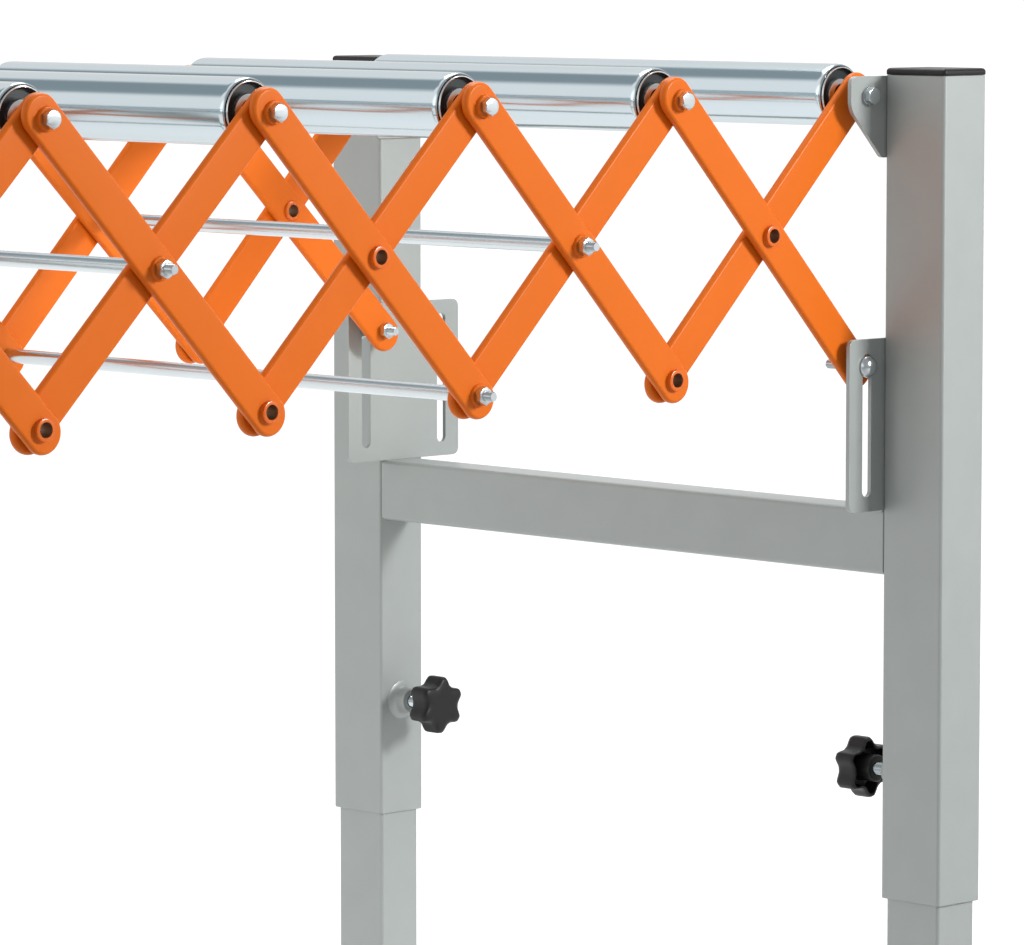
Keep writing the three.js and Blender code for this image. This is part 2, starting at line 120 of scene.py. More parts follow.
@dataclass(frozen=True)
class Section:
    """One rounded rectangle across a lofted piece.

    Args:
        half_u: Half the width.
        half_v: Half the length.
        radius: Corner radius.
        level: Height of the section in the loft.
        centre: Middle of the section.
    """

    half_u: float
    half_v: float
    radius: float
    level: float
    centre: Point = (0.0, 0.0)

    def inset(self, amount: float, level: float) -> "Section":
        """Shrink the section evenly and lift it to a new level.

        Args:
            amount: Distance that every side moves inward.
            level: Height of the new section.

        Returns:
            The smaller section.
        """
        radius = max(self.radius - amount, LEAST_CORNER)
        return Section(self.half_u - amount, self.half_v - amount, radius, level, self.centre)

    def at(self, level: float) -> "Section":
        """Repeat the section at another level."""
        return self.inset(0.0, level)


def hex_flank(flats: float, start: float, lean: float) -> Outline:
    """Give the outline along which a cone cuts the flats of a hexagon.

    Args:
        flats: Distance across flats.
        start: Level of the cone at the hexagon's flat face.
        lean: Rise of the cone for each unit of radius.

    Returns:
        Radius and level for each angle.
    """
    def edge(angle: float) -> Point:
        """Give one point of the outline.

        Args:
            angle: Angle about the axis.

        Returns:
            Radius and level of the point.
        """
        turn = (angle + math.pi / 6) % (math.pi / 3) - math.pi / 6
        radius = flats / 2 / math.cos(turn)
        return radius, start + lean * (radius - flats * HEX_FACE)
    return edge


class Solid:
    """A closed mesh under construction, in millimetres."""

    def __init__(self) -> None:
        """Start with an empty mesh."""
        self.bm = bmesh.new()

    def _edges(self, verts: Iterable[BMVert]) -> list[BMEdge]:
        """List the edges of a fresh loop once each, in order."""
        return list(dict.fromkeys(edge for vert in verts for edge in vert.link_edges))

    def outline(self, segments: int, shape: Outline) -> list[BMEdge]:
        """Add a loop about the Z axis that follows the angle.

        Args:
            segments: Number of vertices.
            shape: Radius and height for each angle.

        Returns:
            Edges of the loop.
        """
        verts = bmesh.ops.create_circle(self.bm, segments=segments, radius=1.0)["verts"]
        for vert in verts:
            radius, level = shape(math.atan2(vert.co.y, vert.co.x))
            vert.co = (vert.co.x * radius, vert.co.y * radius, level)
        return self._edges(verts)

    def circle(self, radius: float, level: float, segments: int) -> list[BMEdge]:
        """Add a plain circle about the Z axis."""
        return self.outline(segments, lambda _angle: (radius, level))

    def rounded(self, section: Section, segments: int = 32) -> list[BMEdge]:
        """Add a rounded rectangle by pulling the quarters of a circle apart.

        Args:
            section: Size and level of the rectangle.
            segments: Number of vertices, a multiple of four.

        Returns:
            Edges of the loop.
        """
        spin = Matrix.Translation((0, 0, section.level)) @ Matrix.Rotation(math.pi / segments, 4, "Z")
        made = bmesh.ops.create_circle(self.bm, segments=segments, radius=section.radius, matrix=spin)
        for vert in made["verts"]:
            vert.co.x += math.copysign(section.half_u - section.radius, vert.co.x) + section.centre[0]
            vert.co.y += math.copysign(section.half_v - section.radius, vert.co.y) + section.centre[1]
        return self._edges(made["verts"])

    def bridge(self, loops: Sequence[list[BMEdge]], closed: bool = False) -> None:
        """Skin a run of loops.

        Args:
            loops: Loops in order.
            closed: Whether the last loop joins the first.
        """
        following = list(loops[1:]) + (list(loops[:1]) if closed else [])
        for low, high in zip(loops, following):
            bmesh.ops.bridge_loops(self.bm, edges=low + high)

    def fill(self, *loops: list[BMEdge]) -> None:
        """Close one outline, less the loops inside it."""
        bmesh.ops.triangle_fill(self.bm, use_beauty=True, edges=[edge for loop in loops for edge in loop])

    @classmethod
    def lathe(cls, profile: Sequence[Point], steps: int = 40, closed: bool = False) -> "Solid":
        """Spin a profile about the Y axis.

        Args:
            profile: Points as radius and distance along Y.
            steps: Number of steps round the axis.
            closed: Whether the profile is a closed ring of points.

        Returns:
            The turned solid.
        """
        solid = cls()
        verts = [solid.bm.verts.new((radius, level, 0.0)) for radius, level in profile]
        following = verts[1:] + (verts[:1] if closed else [])
        edges = [solid.bm.edges.new(pair) for pair in zip(verts, following)]
        bmesh.ops.spin(solid.bm, geom=verts + edges, cent=(0, 0, 0), axis=(0, 1, 0), angle=math.tau,
                       steps=steps, use_merge=True)
        bmesh.ops.remove_doubles(solid.bm, verts=solid.bm.verts, dist=MERGE)
        return solid.outward()

    @classmethod
    def loft(cls, sections: Sequence[Section], holes: Sequence[Section] = (), hollow: bool = False,
             segments: int = 32) -> "Solid":
        """Skin rounded sections into a closed solid.

        Args:
            sections: Sections in order.
            holes: Holes through the first and last section.
            hollow: Whether the sections run up the outside and down the inside of a tube.
            segments: Number of vertices round each section.

        Returns:
            The lofted solid.
        """
        solid = cls()
        loops = [solid.rounded(section, segments) for section in sections]
        solid.bridge(loops, closed=hollow)
        if not hollow:
            low, high = sections[0].level, sections[-1].level
            starts = [solid.rounded(hole.at(low), segments) for hole in holes]
            stops = [solid.rounded(hole.at(high), segments) for hole in holes]
            solid.fill(loops[0], *starts)
            solid.fill(loops[-1], *stops)
            for start, stop in zip(starts, stops):
                solid.bridge([start, stop])
        return solid.outward()

    @classmethod
    def plate(cls, outline: Sequence[Point], corners: Sequence[float], holes: Sequence[Section],
              low: float, high: float) -> "Solid":
        """Cut a flat plate with rounded corners and holes.

        Args:
            outline: Corners of the plate.
            corners: Radius of each corner.
            holes: Holes through the plate.
            low: Level of one face.
            high: Level of the other face.

        Returns:
            The plate.
        """
        solid = cls()
        bm = solid.bm
        verts = [bm.verts.new((u, v, low)) for u, v in outline]
        bmesh.ops.contextual_create(bm, geom=verts)
        for radius in sorted(set(corners)):
            group = [vert for vert, size in zip(verts, corners) if size == radius]
            bmesh.ops.bevel(bm, geom=group, affect="VERTICES", offset=radius, segments=CORNER_STEPS,
                            profile=0.5, material=-1)
        bmesh.ops.delete(bm, geom=list(bm.faces), context="FACES_ONLY")
        rim = list(bm.edges)
        solid.fill(rim, *[solid.rounded(hole.at(low)) for hole in holes])
        made = bmesh.ops.extrude_face_region(bm, geom=list(bm.faces))["geom"]
        moved = [item for item in made if isinstance(item, BMVert)]
        bmesh.ops.translate(bm, vec=(0, 0, high - low), verts=moved)
        return solid.outward()

    @classmethod
    def hexagon(cls, flats: float, low: float, high: float, bore: float = 0.0,
                both: bool = False) -> "Solid":
        """Model a hex head or nut along Y with turned chamfers.

        Args:
            flats: Distance across flats.
            low: Start along Y.
            high: End along Y.
            bore: Radius of the hole, or zero for a head.
            both: Whether the start is chamfered as well as the end.

        Returns:
            The head or nut.
        """
        solid = cls()
        face = flats * HEX_FACE
        lean = math.copysign(math.tan(HEX_CHAMFER), high - low)
        loops = [solid.circle(face, low, HEX_STEPS)] if both else []
        loops += [solid.outline(HEX_STEPS, hex_flank(flats, low, lean if both else 0.0)),
                  solid.outline(HEX_STEPS, hex_flank(flats, high, -lean)),
                  solid.circle(face, high, HEX_STEPS)]
        if bore:
            loops += [solid.circle(bore, level, HEX_STEPS) for level in (high, low)]
        solid.bridge(loops, closed=bool(bore))
        if not bore:
            solid.fill(loops[0])
            solid.fill(loops[-1])
        return solid.move(LEVELS_TO_Y)

    def outward(self) -> "Solid":
        """Turn every face outward and return the solid."""
        bmesh.ops.recalc_face_normals(self.bm, faces=self.bm.faces)
        return self

    def move(self, matrix: Matrix) -> "Solid":
        """Move, turn or mirror the solid.

        Args:
            matrix: The change to make.

        Returns:
            The same solid.
        """
        bmesh.ops.transform(self.bm, matrix=matrix, verts=self.bm.verts)
        return self.outward()

    def add(self, *others: "Solid") -> "Solid":
        """Take other solids into this one.

        Args:
            others: Solids to take in; they are used up.

        Returns:
            The same solid.
        """
        for other in others:
            mesh = bpy.data.meshes.new("part")
            other.bm.to_mesh(mesh)
            other.bm.free()
            self.bm.from_mesh(mesh)
            bpy.data.meshes.remove(mesh)
        return self

    def soften(self, width: float, segments: int = 2, limit: float = 40.0) -> "Solid":
        """Round the sharp edges.

        Args:
            width: Size of the rounding.
            segments: Number of faces across it.
            limit: Smallest angle, in degrees, that counts as sharp.

        Returns:
            The same solid.
        """
        sharp = [edge for edge in self.bm.edges
                 if edge.is_manifold and edge.calc_face_angle(0.0) > math.radians(limit)]
        bmesh.ops.bevel(self.bm, geom=sharp, affect="EDGES", offset=width, segments=segments, profile=0.5,
                        material=-1, clamp_overlap=True)
        return self.outward()

    def paint(self, spots: Sequence[tuple[Point, int]]) -> "Solid":
        """Give every face of a turned solid the finish of the nearest spot.

        Args:
            spots: Radius and distance along Y, each with a finish number.

        Returns:
            The same solid.
        """
        for face in self.bm.faces:
            middle = face.calc_center_median()
            at = Vector((math.hypot(middle.x, middle.z), abs(middle.y)))
            nearest = min(spots, key=lambda spot: (Vector(spot[0]) - at).length_squared)
            face.material_index = nearest[1]
        return self


def math_node(tree: NodeTree, operation: str, *values: float | NodeSocket) -> NodeSocket:
    """Add a Math node to a node tree.

    Args:
        tree: The node tree.
        operation: What the node works out.
        values: A number or a socket for each of its inputs, in order.

    Returns:
        The node's result.
    """
    node = tree.nodes.new("ShaderNodeMath")
    node.operation = operation
    for value, target in zip(values, node.inputs):
        if isinstance(value, NodeSocket):
            tree.links.new(value, target)
        else:
            target.default_value = value
    return node.outputs[0]


def noise_node(tree: NodeTree, place: NodeSocket, scale: float, detail: float) -> NodeSocket:
    """Add a Noise Texture to a node tree.

    Args:
        tree: The node tree.
        place: Coordinates at which the noise is read.
        scale: Scale of the pattern.
        detail: Layers of finer noise.

    Returns:
        The noise, from 0 to 1.
    """
    node = tree.nodes.new("ShaderNodeTexNoise")
    node.inputs["Scale"].default_value = scale
    node.inputs["Detail"].default_value = detail
    tree.links.new(place, node.inputs["Vector"])
    return node.outputs["Fac"]


def smooth_step(tree: NodeTree, value: NodeSocket, edge: Point, ends: Point = (0.0, 1.0)) -> NodeSocket:
    """Add a smooth step to a node tree.

    Args:
        tree: The node tree.
        value: What the step follows.
        edge: Where the step starts and stops.
        ends: Result before and after the step.

    Returns:
        The step's result.
    """
    node = tree.nodes.new("ShaderNodeMapRange")
    node.interpolation_type = "SMOOTHSTEP"
    for label, number in zip(("From Min", "From Max", "To Min", "To Max"), (*edge, *ends)):
        node.inputs[label].default_value = number
    tree.links.new(value, node.inputs["Value"])
    return node.outputs["Result"]


@dataclass(frozen=True)
class Finish:
    """A surface treatment and the numbers that shape its look.

    Args:
        name: Name of the material.
        colour: Base colour, linear.
        metallic: Share of metal.
        roughness: Middle roughness.
        spread: Change of roughness over the grain.
        mottle: Darkening between patches.
        grain: Grain per metre along X, Y and Z.
        relief: Height of the grain in metres.
        specular: Strength of the surface mirror.
        edge: Tint of the mirror at a low angle.
    """

    name: str
    colour: Colour
    metallic: float
    roughness: float
    spread: float
    mottle: float
    grain: Triple
    relief: float
    specular: float = 0.5
    edge: float = 1.0

    @staticmethod
    def grain_group() -> NodeTree:
        """Make the shared grain group, or find it.

        Returns:
            The node group with colour, roughness and height outputs.
        """
        found = bpy.data.node_groups.get("surface_grain")
        if found:
            return found
        tree = bpy.data.node_groups.new("surface_grain", "ShaderNodeTree")
        for label, kind in (("Vector", "NodeSocketVector"), ("Colour", "NodeSocketColor"),
                            ("Mottle", "NodeSocketFloat"), ("Roughness", "NodeSocketFloat"),
                            ("Spread", "NodeSocketFloat")):
            tree.interface.new_socket(label, in_out="INPUT", socket_type=kind)
        for label, kind in (("Colour", "NodeSocketColor"), ("Roughness", "NodeSocketFloat"),
                            ("Height", "NodeSocketFloat")):
            tree.interface.new_socket(label, in_out="OUTPUT", socket_type=kind)
        start, stop = tree.nodes.new("NodeGroupInput"), tree.nodes.new("NodeGroupOutput")
        given, link = start.outputs, tree.links.new
        fine = noise_node(tree, given["Vector"], scale=1.0, detail=3.0)
        wide = noise_node(tree, given["Vector"], scale=0.03, detail=2.0)
        shade = math_node(tree, "MULTIPLY", wide, given["Mottle"])
        tint = tree.nodes.new("ShaderNodeHueSaturation")
        link(math_node(tree, "SUBTRACT", 1.0, shade), tint.inputs["Value"])
        link(given["Colour"], tint.inputs["Color"])
        centred = math_node(tree, "SUBTRACT", fine, 0.5)
        rough = math_node(tree, "MULTIPLY_ADD", centred, given["Spread"], given["Roughness"])
        link(tint.outputs["Color"], stop.inputs["Colour"])
        link(rough, stop.inputs["Roughness"])
        link(fine, stop.inputs["Height"])
        return tree

    def material(self) -> Material:
        """Make the material, or find it.

        Returns:
            The finished material.
        """
        found = bpy.data.materials.get(self.name)
        if found:
            return found
        made = bpy.data.materials.new(self.name)
        made.use_nodes = True
        nodes, link = made.node_tree.nodes, made.node_tree.links.new
        shader = nodes["Principled BSDF"]
        place = nodes.new("ShaderNodeTexCoord")
        stretch = nodes.new("ShaderNodeVectorMath")
        stretch.operation = "MULTIPLY"
        stretch.inputs[1].default_value = self.grain
        grain = nodes.new("ShaderNodeGroup")
        grain.node_tree = self.grain_group()
        grain.inputs["Colour"].default_value = (*self.colour, 1.0)
        grain.inputs["Mottle"].default_value = self.mottle
        grain.inputs["Roughness"].default_value = self.roughness
        grain.inputs["Spread"].default_value = self.spread
        bump = nodes.new("ShaderNodeBump")
        bump.inputs["Strength"].default_value = 1.0
        bump.inputs["Distance"].default_value = self.relief
        link(place.outputs["Object"], stretch.inputs[0])
        link(stretch.outputs[0], grain.inputs["Vector"])
        link(grain.outputs["Colour"], shader.inputs["Base Color"])
        link(grain.outputs["Roughness"], shader.inputs["Roughness"])
        link(grain.outputs["Height"], bump.inputs["Height"])
        link(bump.outputs["Normal"], shader.inputs["Normal"])
        shader.inputs["Metallic"].default_value = self.metallic
        shader.inputs["Specular IOR Level"].default_value = self.specular
        shader.inputs["Specular Tint"].default_value = (self.edge, self.edge, self.edge, 1.0)
        made.diffuse_color = (*self.colour, 1.0)
        return made


ORANGE = Finish(
    "orange_powder_coat", (0.680, 0.139, 0.008), metallic=0.0, roughness=0.34, spread=0.08, mottle=0.08,
    grain=(900, 900, 900), relief=1.0e-5, specular=0.17)
GREY = Finish(
    "grey_powder_coat", (0.345, 0.372, 0.362), metallic=0.25, roughness=0.42, spread=0.12, mottle=0.10,
    grain=(1100, 1100, 1100), relief=1.0e-5)
ZINC = Finish(
    "zinc_plate", (0.60, 0.68, 0.715), metallic=1.0, roughness=0.13, spread=0.08, mottle=0.10,
    grain=(700, 14, 700), relief=1.5e-6, edge=0.82)
BOLT = Finish(
    "zinc_bolts", (0.64, 0.69, 0.71), metallic=1.0, roughness=0.22, spread=0.10, mottle=0.12,
    grain=(900, 900, 900), relief=2.0e-6)
# Inside of the hollow rivets: bare metal, darkened by painted shade of the hole.
BORE = Finish(
    "bare_rivet_bore", (0.34, 0.20, 0.12), metallic=0.7, roughness=0.34, spread=0.12, mottle=0.25,
    grain=(900, 900, 900), relief=4.0e-6)
RIVET = Finish(
    "orange_rivet", (0.660, 0.125, 0.006), metallic=0.0, roughness=0.24, spread=0.08, mottle=0.08,
    grain=(900, 900, 900), relief=6.0e-6)
BRIGHT = Finish(
    "bright_steel", (0.92, 0.93, 0.93), metallic=1.0, roughness=0.24, spread=0.06, mottle=0.06,
    grain=(500, 500, 500), relief=1.0e-6)
# Dark bearing seal in the roller ends. The same finish paints shade into the groove behind the rim and onto
# the hub round the bore.
DARK_SEAL_AND_SHADE = Finish(
    "dark_bearing_seal", (0.022, 0.032, 0.035), metallic=0.0, roughness=0.36, spread=0.10, mottle=0.20,
    grain=(900, 900, 900), relief=4.0e-6, specular=0.2)
PLASTIC = Finish(
    "black_moulded_plastic", (0.010, 0.010, 0.010), metallic=0.0, roughness=0.42, spread=0.12, mottle=0.20,
    grain=(1500, 1500, 1500), relief=8.0e-6, specular=0.30)
RUBBER = Finish(
    "black_rubber", (0.012, 0.012, 0.012), metallic=0.0, roughness=0.72, spread=0.15, mottle=0.25,
    grain=(800, 800, 800), relief=2.5e-5)
PALE = Finish(
    "pale_floor", (0.38, 0.38, 0.38), metallic=0.0, roughness=0.9, spread=0.02, mottle=0.01,
    grain=(40, 40, 40), relief=0.0)


def finish_piece(name: str, solid: Solid, body: str, finishes: Sequence[Finish],
                 nodes: Sequence[str] = (), smooth: float = 35.0) -> None:
    """Turn a solid into a piece of the frame, in metres.

    Args:
        name: Name of the piece.
        solid: The modelled solid; it is used up.
        body: Body of the frame that it rides on.
        finishes: Finishes, in the order that the faces number them.
        nodes: CAD nodes that the piece stands for.
        smooth: Largest angle, in degrees, shaded as one surface.
    """
    solid.move(Matrix.Scale(MM, 4))
    mesh = bpy.data.meshes.new(name)
    solid.bm.to_mesh(mesh)
    solid.bm.free()
    mesh.shade_smooth()
    mesh.set_sharp_from_angle(angle=math.radians(smooth))
    for finish in finishes:
        mesh.materials.append(finish.material())
    made = bpy.data.objects.new(name, mesh)
    bpy.context.scene.collection.objects.link(made)
    weighted = made.modifiers.new("even_faces", "WEIGHTED_NORMAL")
    weighted.keep_sharp = True
    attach(made, body)
    if nodes:
        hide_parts(*nodes)
    LOG.info("piece %s on %s", name, body)


def node_centre(node: str) -> Vector:
    """Give the middle of a CAD node's box in millimetres."""
    low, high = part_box(node)
    return (Vector(low) + Vector(high)) / 2 / MM


def shift(x: float, y: float, z: float) -> Matrix:
    """Give a plain move."""
    return Matrix.Translation((x, y, z))


def across(side: Side) -> Matrix:
    """Stand a solid modelled in U, V and level upright, with its levels outward on one side."""
    return Matrix(((1, 0, 0, 0), (0, 0, side.value, 0), (0, 1, 0, 0), (0, 0, 0, 1)))


def mirrored(side: Side) -> Matrix:
    """Mirror a solid that was modelled along +Y onto one side."""
    return Matrix.Scale(side.value, 4, (0, 1, 0))


def thread(radius: float, low: float, high: float, pitch: float = 1.0) -> list[Point]:
    """Give the profile of a screw thread.

    Args:
        radius: Outside radius.
        low: Start along the axis.
        high: End along the axis.
        pitch: Distance between crests.

    Returns:
        Points of crests and roots.
    """
    count = max(1, round(abs(high - low) / pitch))
    step = (high - low) / count
    points: list[Point] = []
    for index in range(count):
        points += [(radius, low + step * index), (radius * THREAD_ROOT, low + step * (index + 0.5))]
    return points + [(radius, high)]


@dataclass
class Levels:
    """Distances from the middle of the stand to the layers of one side."""

    roller_end: float = 215.0
    inner_bar: float = 224.6
    outer_bar: float = 231.5
    bar_half: float = 3.0
    bar_lean: float = 5.2
    plate_in: float = 235.0
    plate_out: float = 238.0

    def bar(self, lean: Lean, side: Side) -> float:
        """Give the level of a bar's middle at its top pivot."""
        return self.outer_bar if (lean is Lean.FALLING) == (side is Side.NEAR) else self.inner_bar

    def at_crossing(self) -> "Levels":
        """Give the levels at the crossings, where the bars have leaned half their way inward."""
        return self.leaned(self.bar_lean / 2)

    def at_lower(self) -> "Levels":
        """Give the levels at the lower pivots."""
        return self.leaned(self.bar_lean)

    def leaned(self, drop: float) -> "Levels":
        """Give the levels with both bars moved inward."""
        return replace(self, inner_bar=self.inner_bar - drop, outer_bar=self.outer_bar - drop)


class RivetPart(Enum):
    """Finishes of a rivet, in slot order."""

    FLANGE = 0
    BORE = 1


@dataclass
class Lattice:
    """The scissor bars with their rivets and collars."""

    levels: Levels
    hole_pitch: float = 120.0
    half_width: float = 12.5
    tip: float = 15.5
    edge_run: float = 2.3
    hole: float = 4.6
    rivet_rim: float = 6.7
    rivet_bore: float = 4.3
    rivet_waist: float = 6.8
    shank_press: float = 0.05
    rivet_front: float = 3.4
    rivet_back: float = 2.4
    rivet_crossings: tuple[int, ...] = (1, 3, 5)
    rivet_lowers: tuple[int, ...] = (1, 3, 4)
    collar: float = 6.9
    collar_bore: float = 3.6
    axle_collar: float = 2.7
    rod_collar: float = 2.0
    seat_gap: float = 0.05
    round_steps: int = 8
    outline_steps: int = 48

    def pivot(self, index: int) -> Vector:
        """Give a crossing's place."""
        return node_centre(f"near_bar_rising_{index}")

    def lower(self, index: int) -> Vector:
        """Give a lower pivot's place."""
        top = node_centre(f"roller_{index + 1}")
        return Vector((top.x, 0.0, 2 * self.pivot(index).z - top.z))

    def angle(self) -> float:
        """Give the bars' turn from upright."""
        reach = node_centre("roller_1") - self.pivot(1)
        return math.atan2(reach.x, reach.z)

    def bar_solid(self, level: float) -> Solid:
        """Model one bar upright, with its full round edges.

        Args:
            level: Level of the bar's middle.

        Returns:
            The bar.
        """
        outline = Section(self.half_width, self.hole_pitch + self.tip, self.half_width, level)
        sections = []
        for step in range(self.round_steps + 1):
            turn = math.pi * step / self.round_steps
            inset = self.edge_run * (1 - math.sin(turn))
            sections.append(outline.inset(inset, level - self.levels.bar_half * math.cos(turn)))
        holes = [Section(self.hole, self.hole, self.hole, 0.0, (0.0, place))
                 for place in (-self.hole_pitch, 0.0, self.hole_pitch)]
        slope = self.levels.bar_lean / (2 * self.hole_pitch)
        shear = Matrix.Translation((0, 0, -slope * self.hole_pitch))
        shear[2][1] = slope
        return Solid.loft(sections, holes, segments=self.outline_steps).move(shear)

    def rivet_solid(self, levels: Levels) -> Solid:
        """Model one hollow rivet along +Y.

        Args:
            levels: Levels of the bars at the rivet.

        Returns:
            The rivet.
        """
        outer = levels.outer_bar + levels.bar_half
        inner = levels.inner_bar - levels.bar_half
        gap_in = levels.inner_bar + levels.bar_half
        gap_out = levels.outer_bar - levels.bar_half
        rim, bore, waist = self.rivet_rim, self.rivet_bore, self.rivet_waist
        shank = self.hole + self.shank_press
        front, back = outer + self.rivet_front, inner - self.rivet_back
        solid = Solid.lathe([
            (bore, front - 0.4), (bore + 0.3, front), (rim - 0.7, front), (rim - 0.15, front - 0.25),
            (rim, front - 0.8), (rim, outer + 0.3), (rim + 0.3, outer + CLEAR), (shank, outer + CLEAR),
            (shank, gap_out - CLEAR), (waist, gap_out - CLEAR), (waist, gap_in + CLEAR),
            (shank, gap_in + CLEAR), (shank, inner - CLEAR), (rim, inner - CLEAR), (rim, back + 0.8),
            (rim - 0.6, back + 0.1), (bore + 0.4, back), (bore, back + 0.4)], closed=True)
        flange = [(rim, outer + 1.5), (rim - 1.0, front), (rim, inner - 1.0), (rim - 1.0, back),
                  (shank, inner)]
        # The bore's wall takes the dark bore finish: bare metal with painted shade of the hole.
        spots = [((bore, (outer + inner) / 2), RivetPart.BORE.value)]
        return solid.paint(spots + [(place, RivetPart.FLANGE.value) for place in flange])

    def build(self) -> None:
        """Build and dress the bars and the rivets."""
        for index in range(1, CELLS + 1):
            for lean in Lean:
                for side in Side:
                    self.add_bar(index, lean, side)
        for side in Side:
            outer = Lean.FALLING if side is Side.NEAR else Lean.RISING
            for index in self.rivet_crossings:
                body = f"{outer.label}_bars_{index}"
                self.add_rivet(f"crossing_rivet_{index}_{side.label}", self.pivot(index), side, body,
                               self.levels.at_crossing())
            for index in self.rivet_lowers:
                owner = index + 1 if outer is Lean.FALLING else index
                body = f"{outer.label}_bars_{owner}"
                self.add_rivet(f"lower_rivet_{index}_{side.label}", self.lower(index), side, body,
                               self.levels.at_lower())

    def add_bar(self, index: int, lean: Lean, side: Side) -> None:
        """Build one bar in its place.

        Args:
            index: Number of the crossing.
            lean: Which way the bar leans.
            side: Side of the stand.
        """
        at = self.pivot(index)
        turn = Matrix.Rotation(lean.value * self.angle(), 4, "Y")
        solid = self.bar_solid(self.levels.bar(lean, side))
        solid.move(shift(at.x, 0.0, at.z) @ turn @ across(side))
        name, body = f"{side.label}_{lean.label}_bar_{index}", f"{lean.label}_bars_{index}"
        finish_piece(name, solid, body, [ORANGE], [f"{side.label}_bar_{lean.label}_{index}"])

    def add_rivet(self, name: str, at: Vector, side: Side, body: str, levels: Levels) -> None:
        """Build one rivet in its place.

        Args:
            name: Name of the piece.
            at: Pivot of the rivet.
            side: Side of the stand.
            body: Body of the outer bar.
            levels: Levels of the bars at the rivet.
        """
        solid = self.rivet_solid(levels).move(shift(at.x, 0.0, at.z) @ mirrored(side))
        finish_piece(name, solid, body, [RIVET, BORE], smooth=40.0)

    def seat(self, levels: Levels, high: float) -> float:
        """Give the level at which a head or nut sits on a flange of the given height."""
        return levels.outer_bar + levels.bar_half + high + self.seat_gap

    def collar_solid(self, levels: Levels, high: float) -> Solid:
        """Model the flange that stands round a bolt on the outer bar, along +Y.

        Args:
            levels: Levels of the bars at the bolt.
            high: Height of the flange.

        Returns:
            The flange.
        """
        face = levels.outer_bar + levels.bar_half
        rim, bore = self.collar, self.collar_bore
        return Solid.lathe([
            (bore, face + CLEAR), (rim + 0.4, face + CLEAR), (rim, face + 0.5), (rim, face + high - 0.7),
            (rim - 0.5, face + high), (bore, face + high)], closed=True)


class RollerPart(Enum):
    """Finishes of a roller, in slot order."""

    TUBE = 0
    RIM = 1
    SEAL = 2


@dataclass
class Roller:
    """One free roller with its pressed ends."""

    levels: Levels
    radius: float = 20.0
    taper_drop: float = 1.3
    taper_run: float = 3.9
    lip: float = 1.5
    rim_out: float = 18.0
    rim_in: float = 17.0
    cone_out: float = 10.8
    cone_in: float = 7.4
    bore: float = 5.3
    steps: int = 64

    def half_profile(self) -> list[tuple[Point, RollerPart]]:
        """Give the profile from the middle to one end.

        Returns:
            Radius and level of every point, with the part of the roller that ends there.
        """
        end, tube, rim, seal_and_shade = self.levels.roller_end, RollerPart.TUBE, RollerPart.RIM, RollerPart.SEAL
        curve = []
        for degrees in range(0, 91, 15):
            turn = math.radians(degrees)
            curve.append(((self.radius - self.taper_drop * (1 - math.cos(turn)),
                           end - self.lip - self.taper_run * (1 - math.sin(turn))), tube))
        # The groove behind the rim and the ring round the bore take the dark seal finish as painted shade.
        return curve + [
            ((self.rim_out + 0.5, end - self.lip - 0.2), tube), ((self.rim_out + 0.4, end - 3.2), seal_and_shade),
            ((self.rim_out, end - 3.2), seal_and_shade), ((self.rim_out - 0.05, end - 0.5), rim),
            ((self.rim_out - 0.4, end - 0.05), rim), ((self.rim_in + 0.3, end - 0.1), rim),
            ((self.rim_in, end - 0.6), rim), ((self.rim_in - 0.2, end - 3.0), seal_and_shade),
            ((self.rim_in - 1.2, end - 3.8), seal_and_shade), ((self.cone_out + 0.2, end - 3.6), seal_and_shade),
            ((self.cone_out, end - 2.6), rim), ((self.cone_out - 0.5, end - 1.6), rim),
            ((self.cone_in + 0.2, end - 0.3), rim), ((self.cone_in, end - 0.2), rim),
            ((self.cone_in - 0.3, end - 1.2), seal_and_shade), ((self.bore, end - 1.2), seal_and_shade)]

    def finish_spots(self) -> list[tuple[Point, int]]:
        """Give the places that fix the finish of the roller's faces.

        Returns:
            The middle of every profile segment, with its finish number.
        """
        half = self.half_profile()
        # The bore through the roller takes the dark seal finish as painted shade.
        spots = [((self.radius, 0.0), RollerPart.TUBE.value), ((self.bore, 0.0), RollerPart.SEAL.value)]
        for (start, _part), (stop, part) in zip(half, half[1:]):
            spots.append((((start[0] + stop[0]) / 2, (start[1] + stop[1]) / 2), part.value))
        return spots

    def build(self, index: int) -> None:
        """Build and dress one roller.

        Args:
            index: Number of the roller, from the right.
        """
        half = [point for point, _part in self.half_profile()]
        other = [(radius, -level) for radius, level in reversed(half)]
        solid = Solid.lathe(other + half, steps=self.steps, closed=True).paint(self.finish_spots())
        at = node_centre(f"roller_{index}")
        solid.move(shift(at.x, 0.0, at.z))
        finish_piece(f"free_roller_{index}", solid, f"spinning_roller_{index}",
                     [ZINC, BRIGHT, DARK_SEAL_AND_SHADE], [f"roller_{index}"], smooth=30.0)


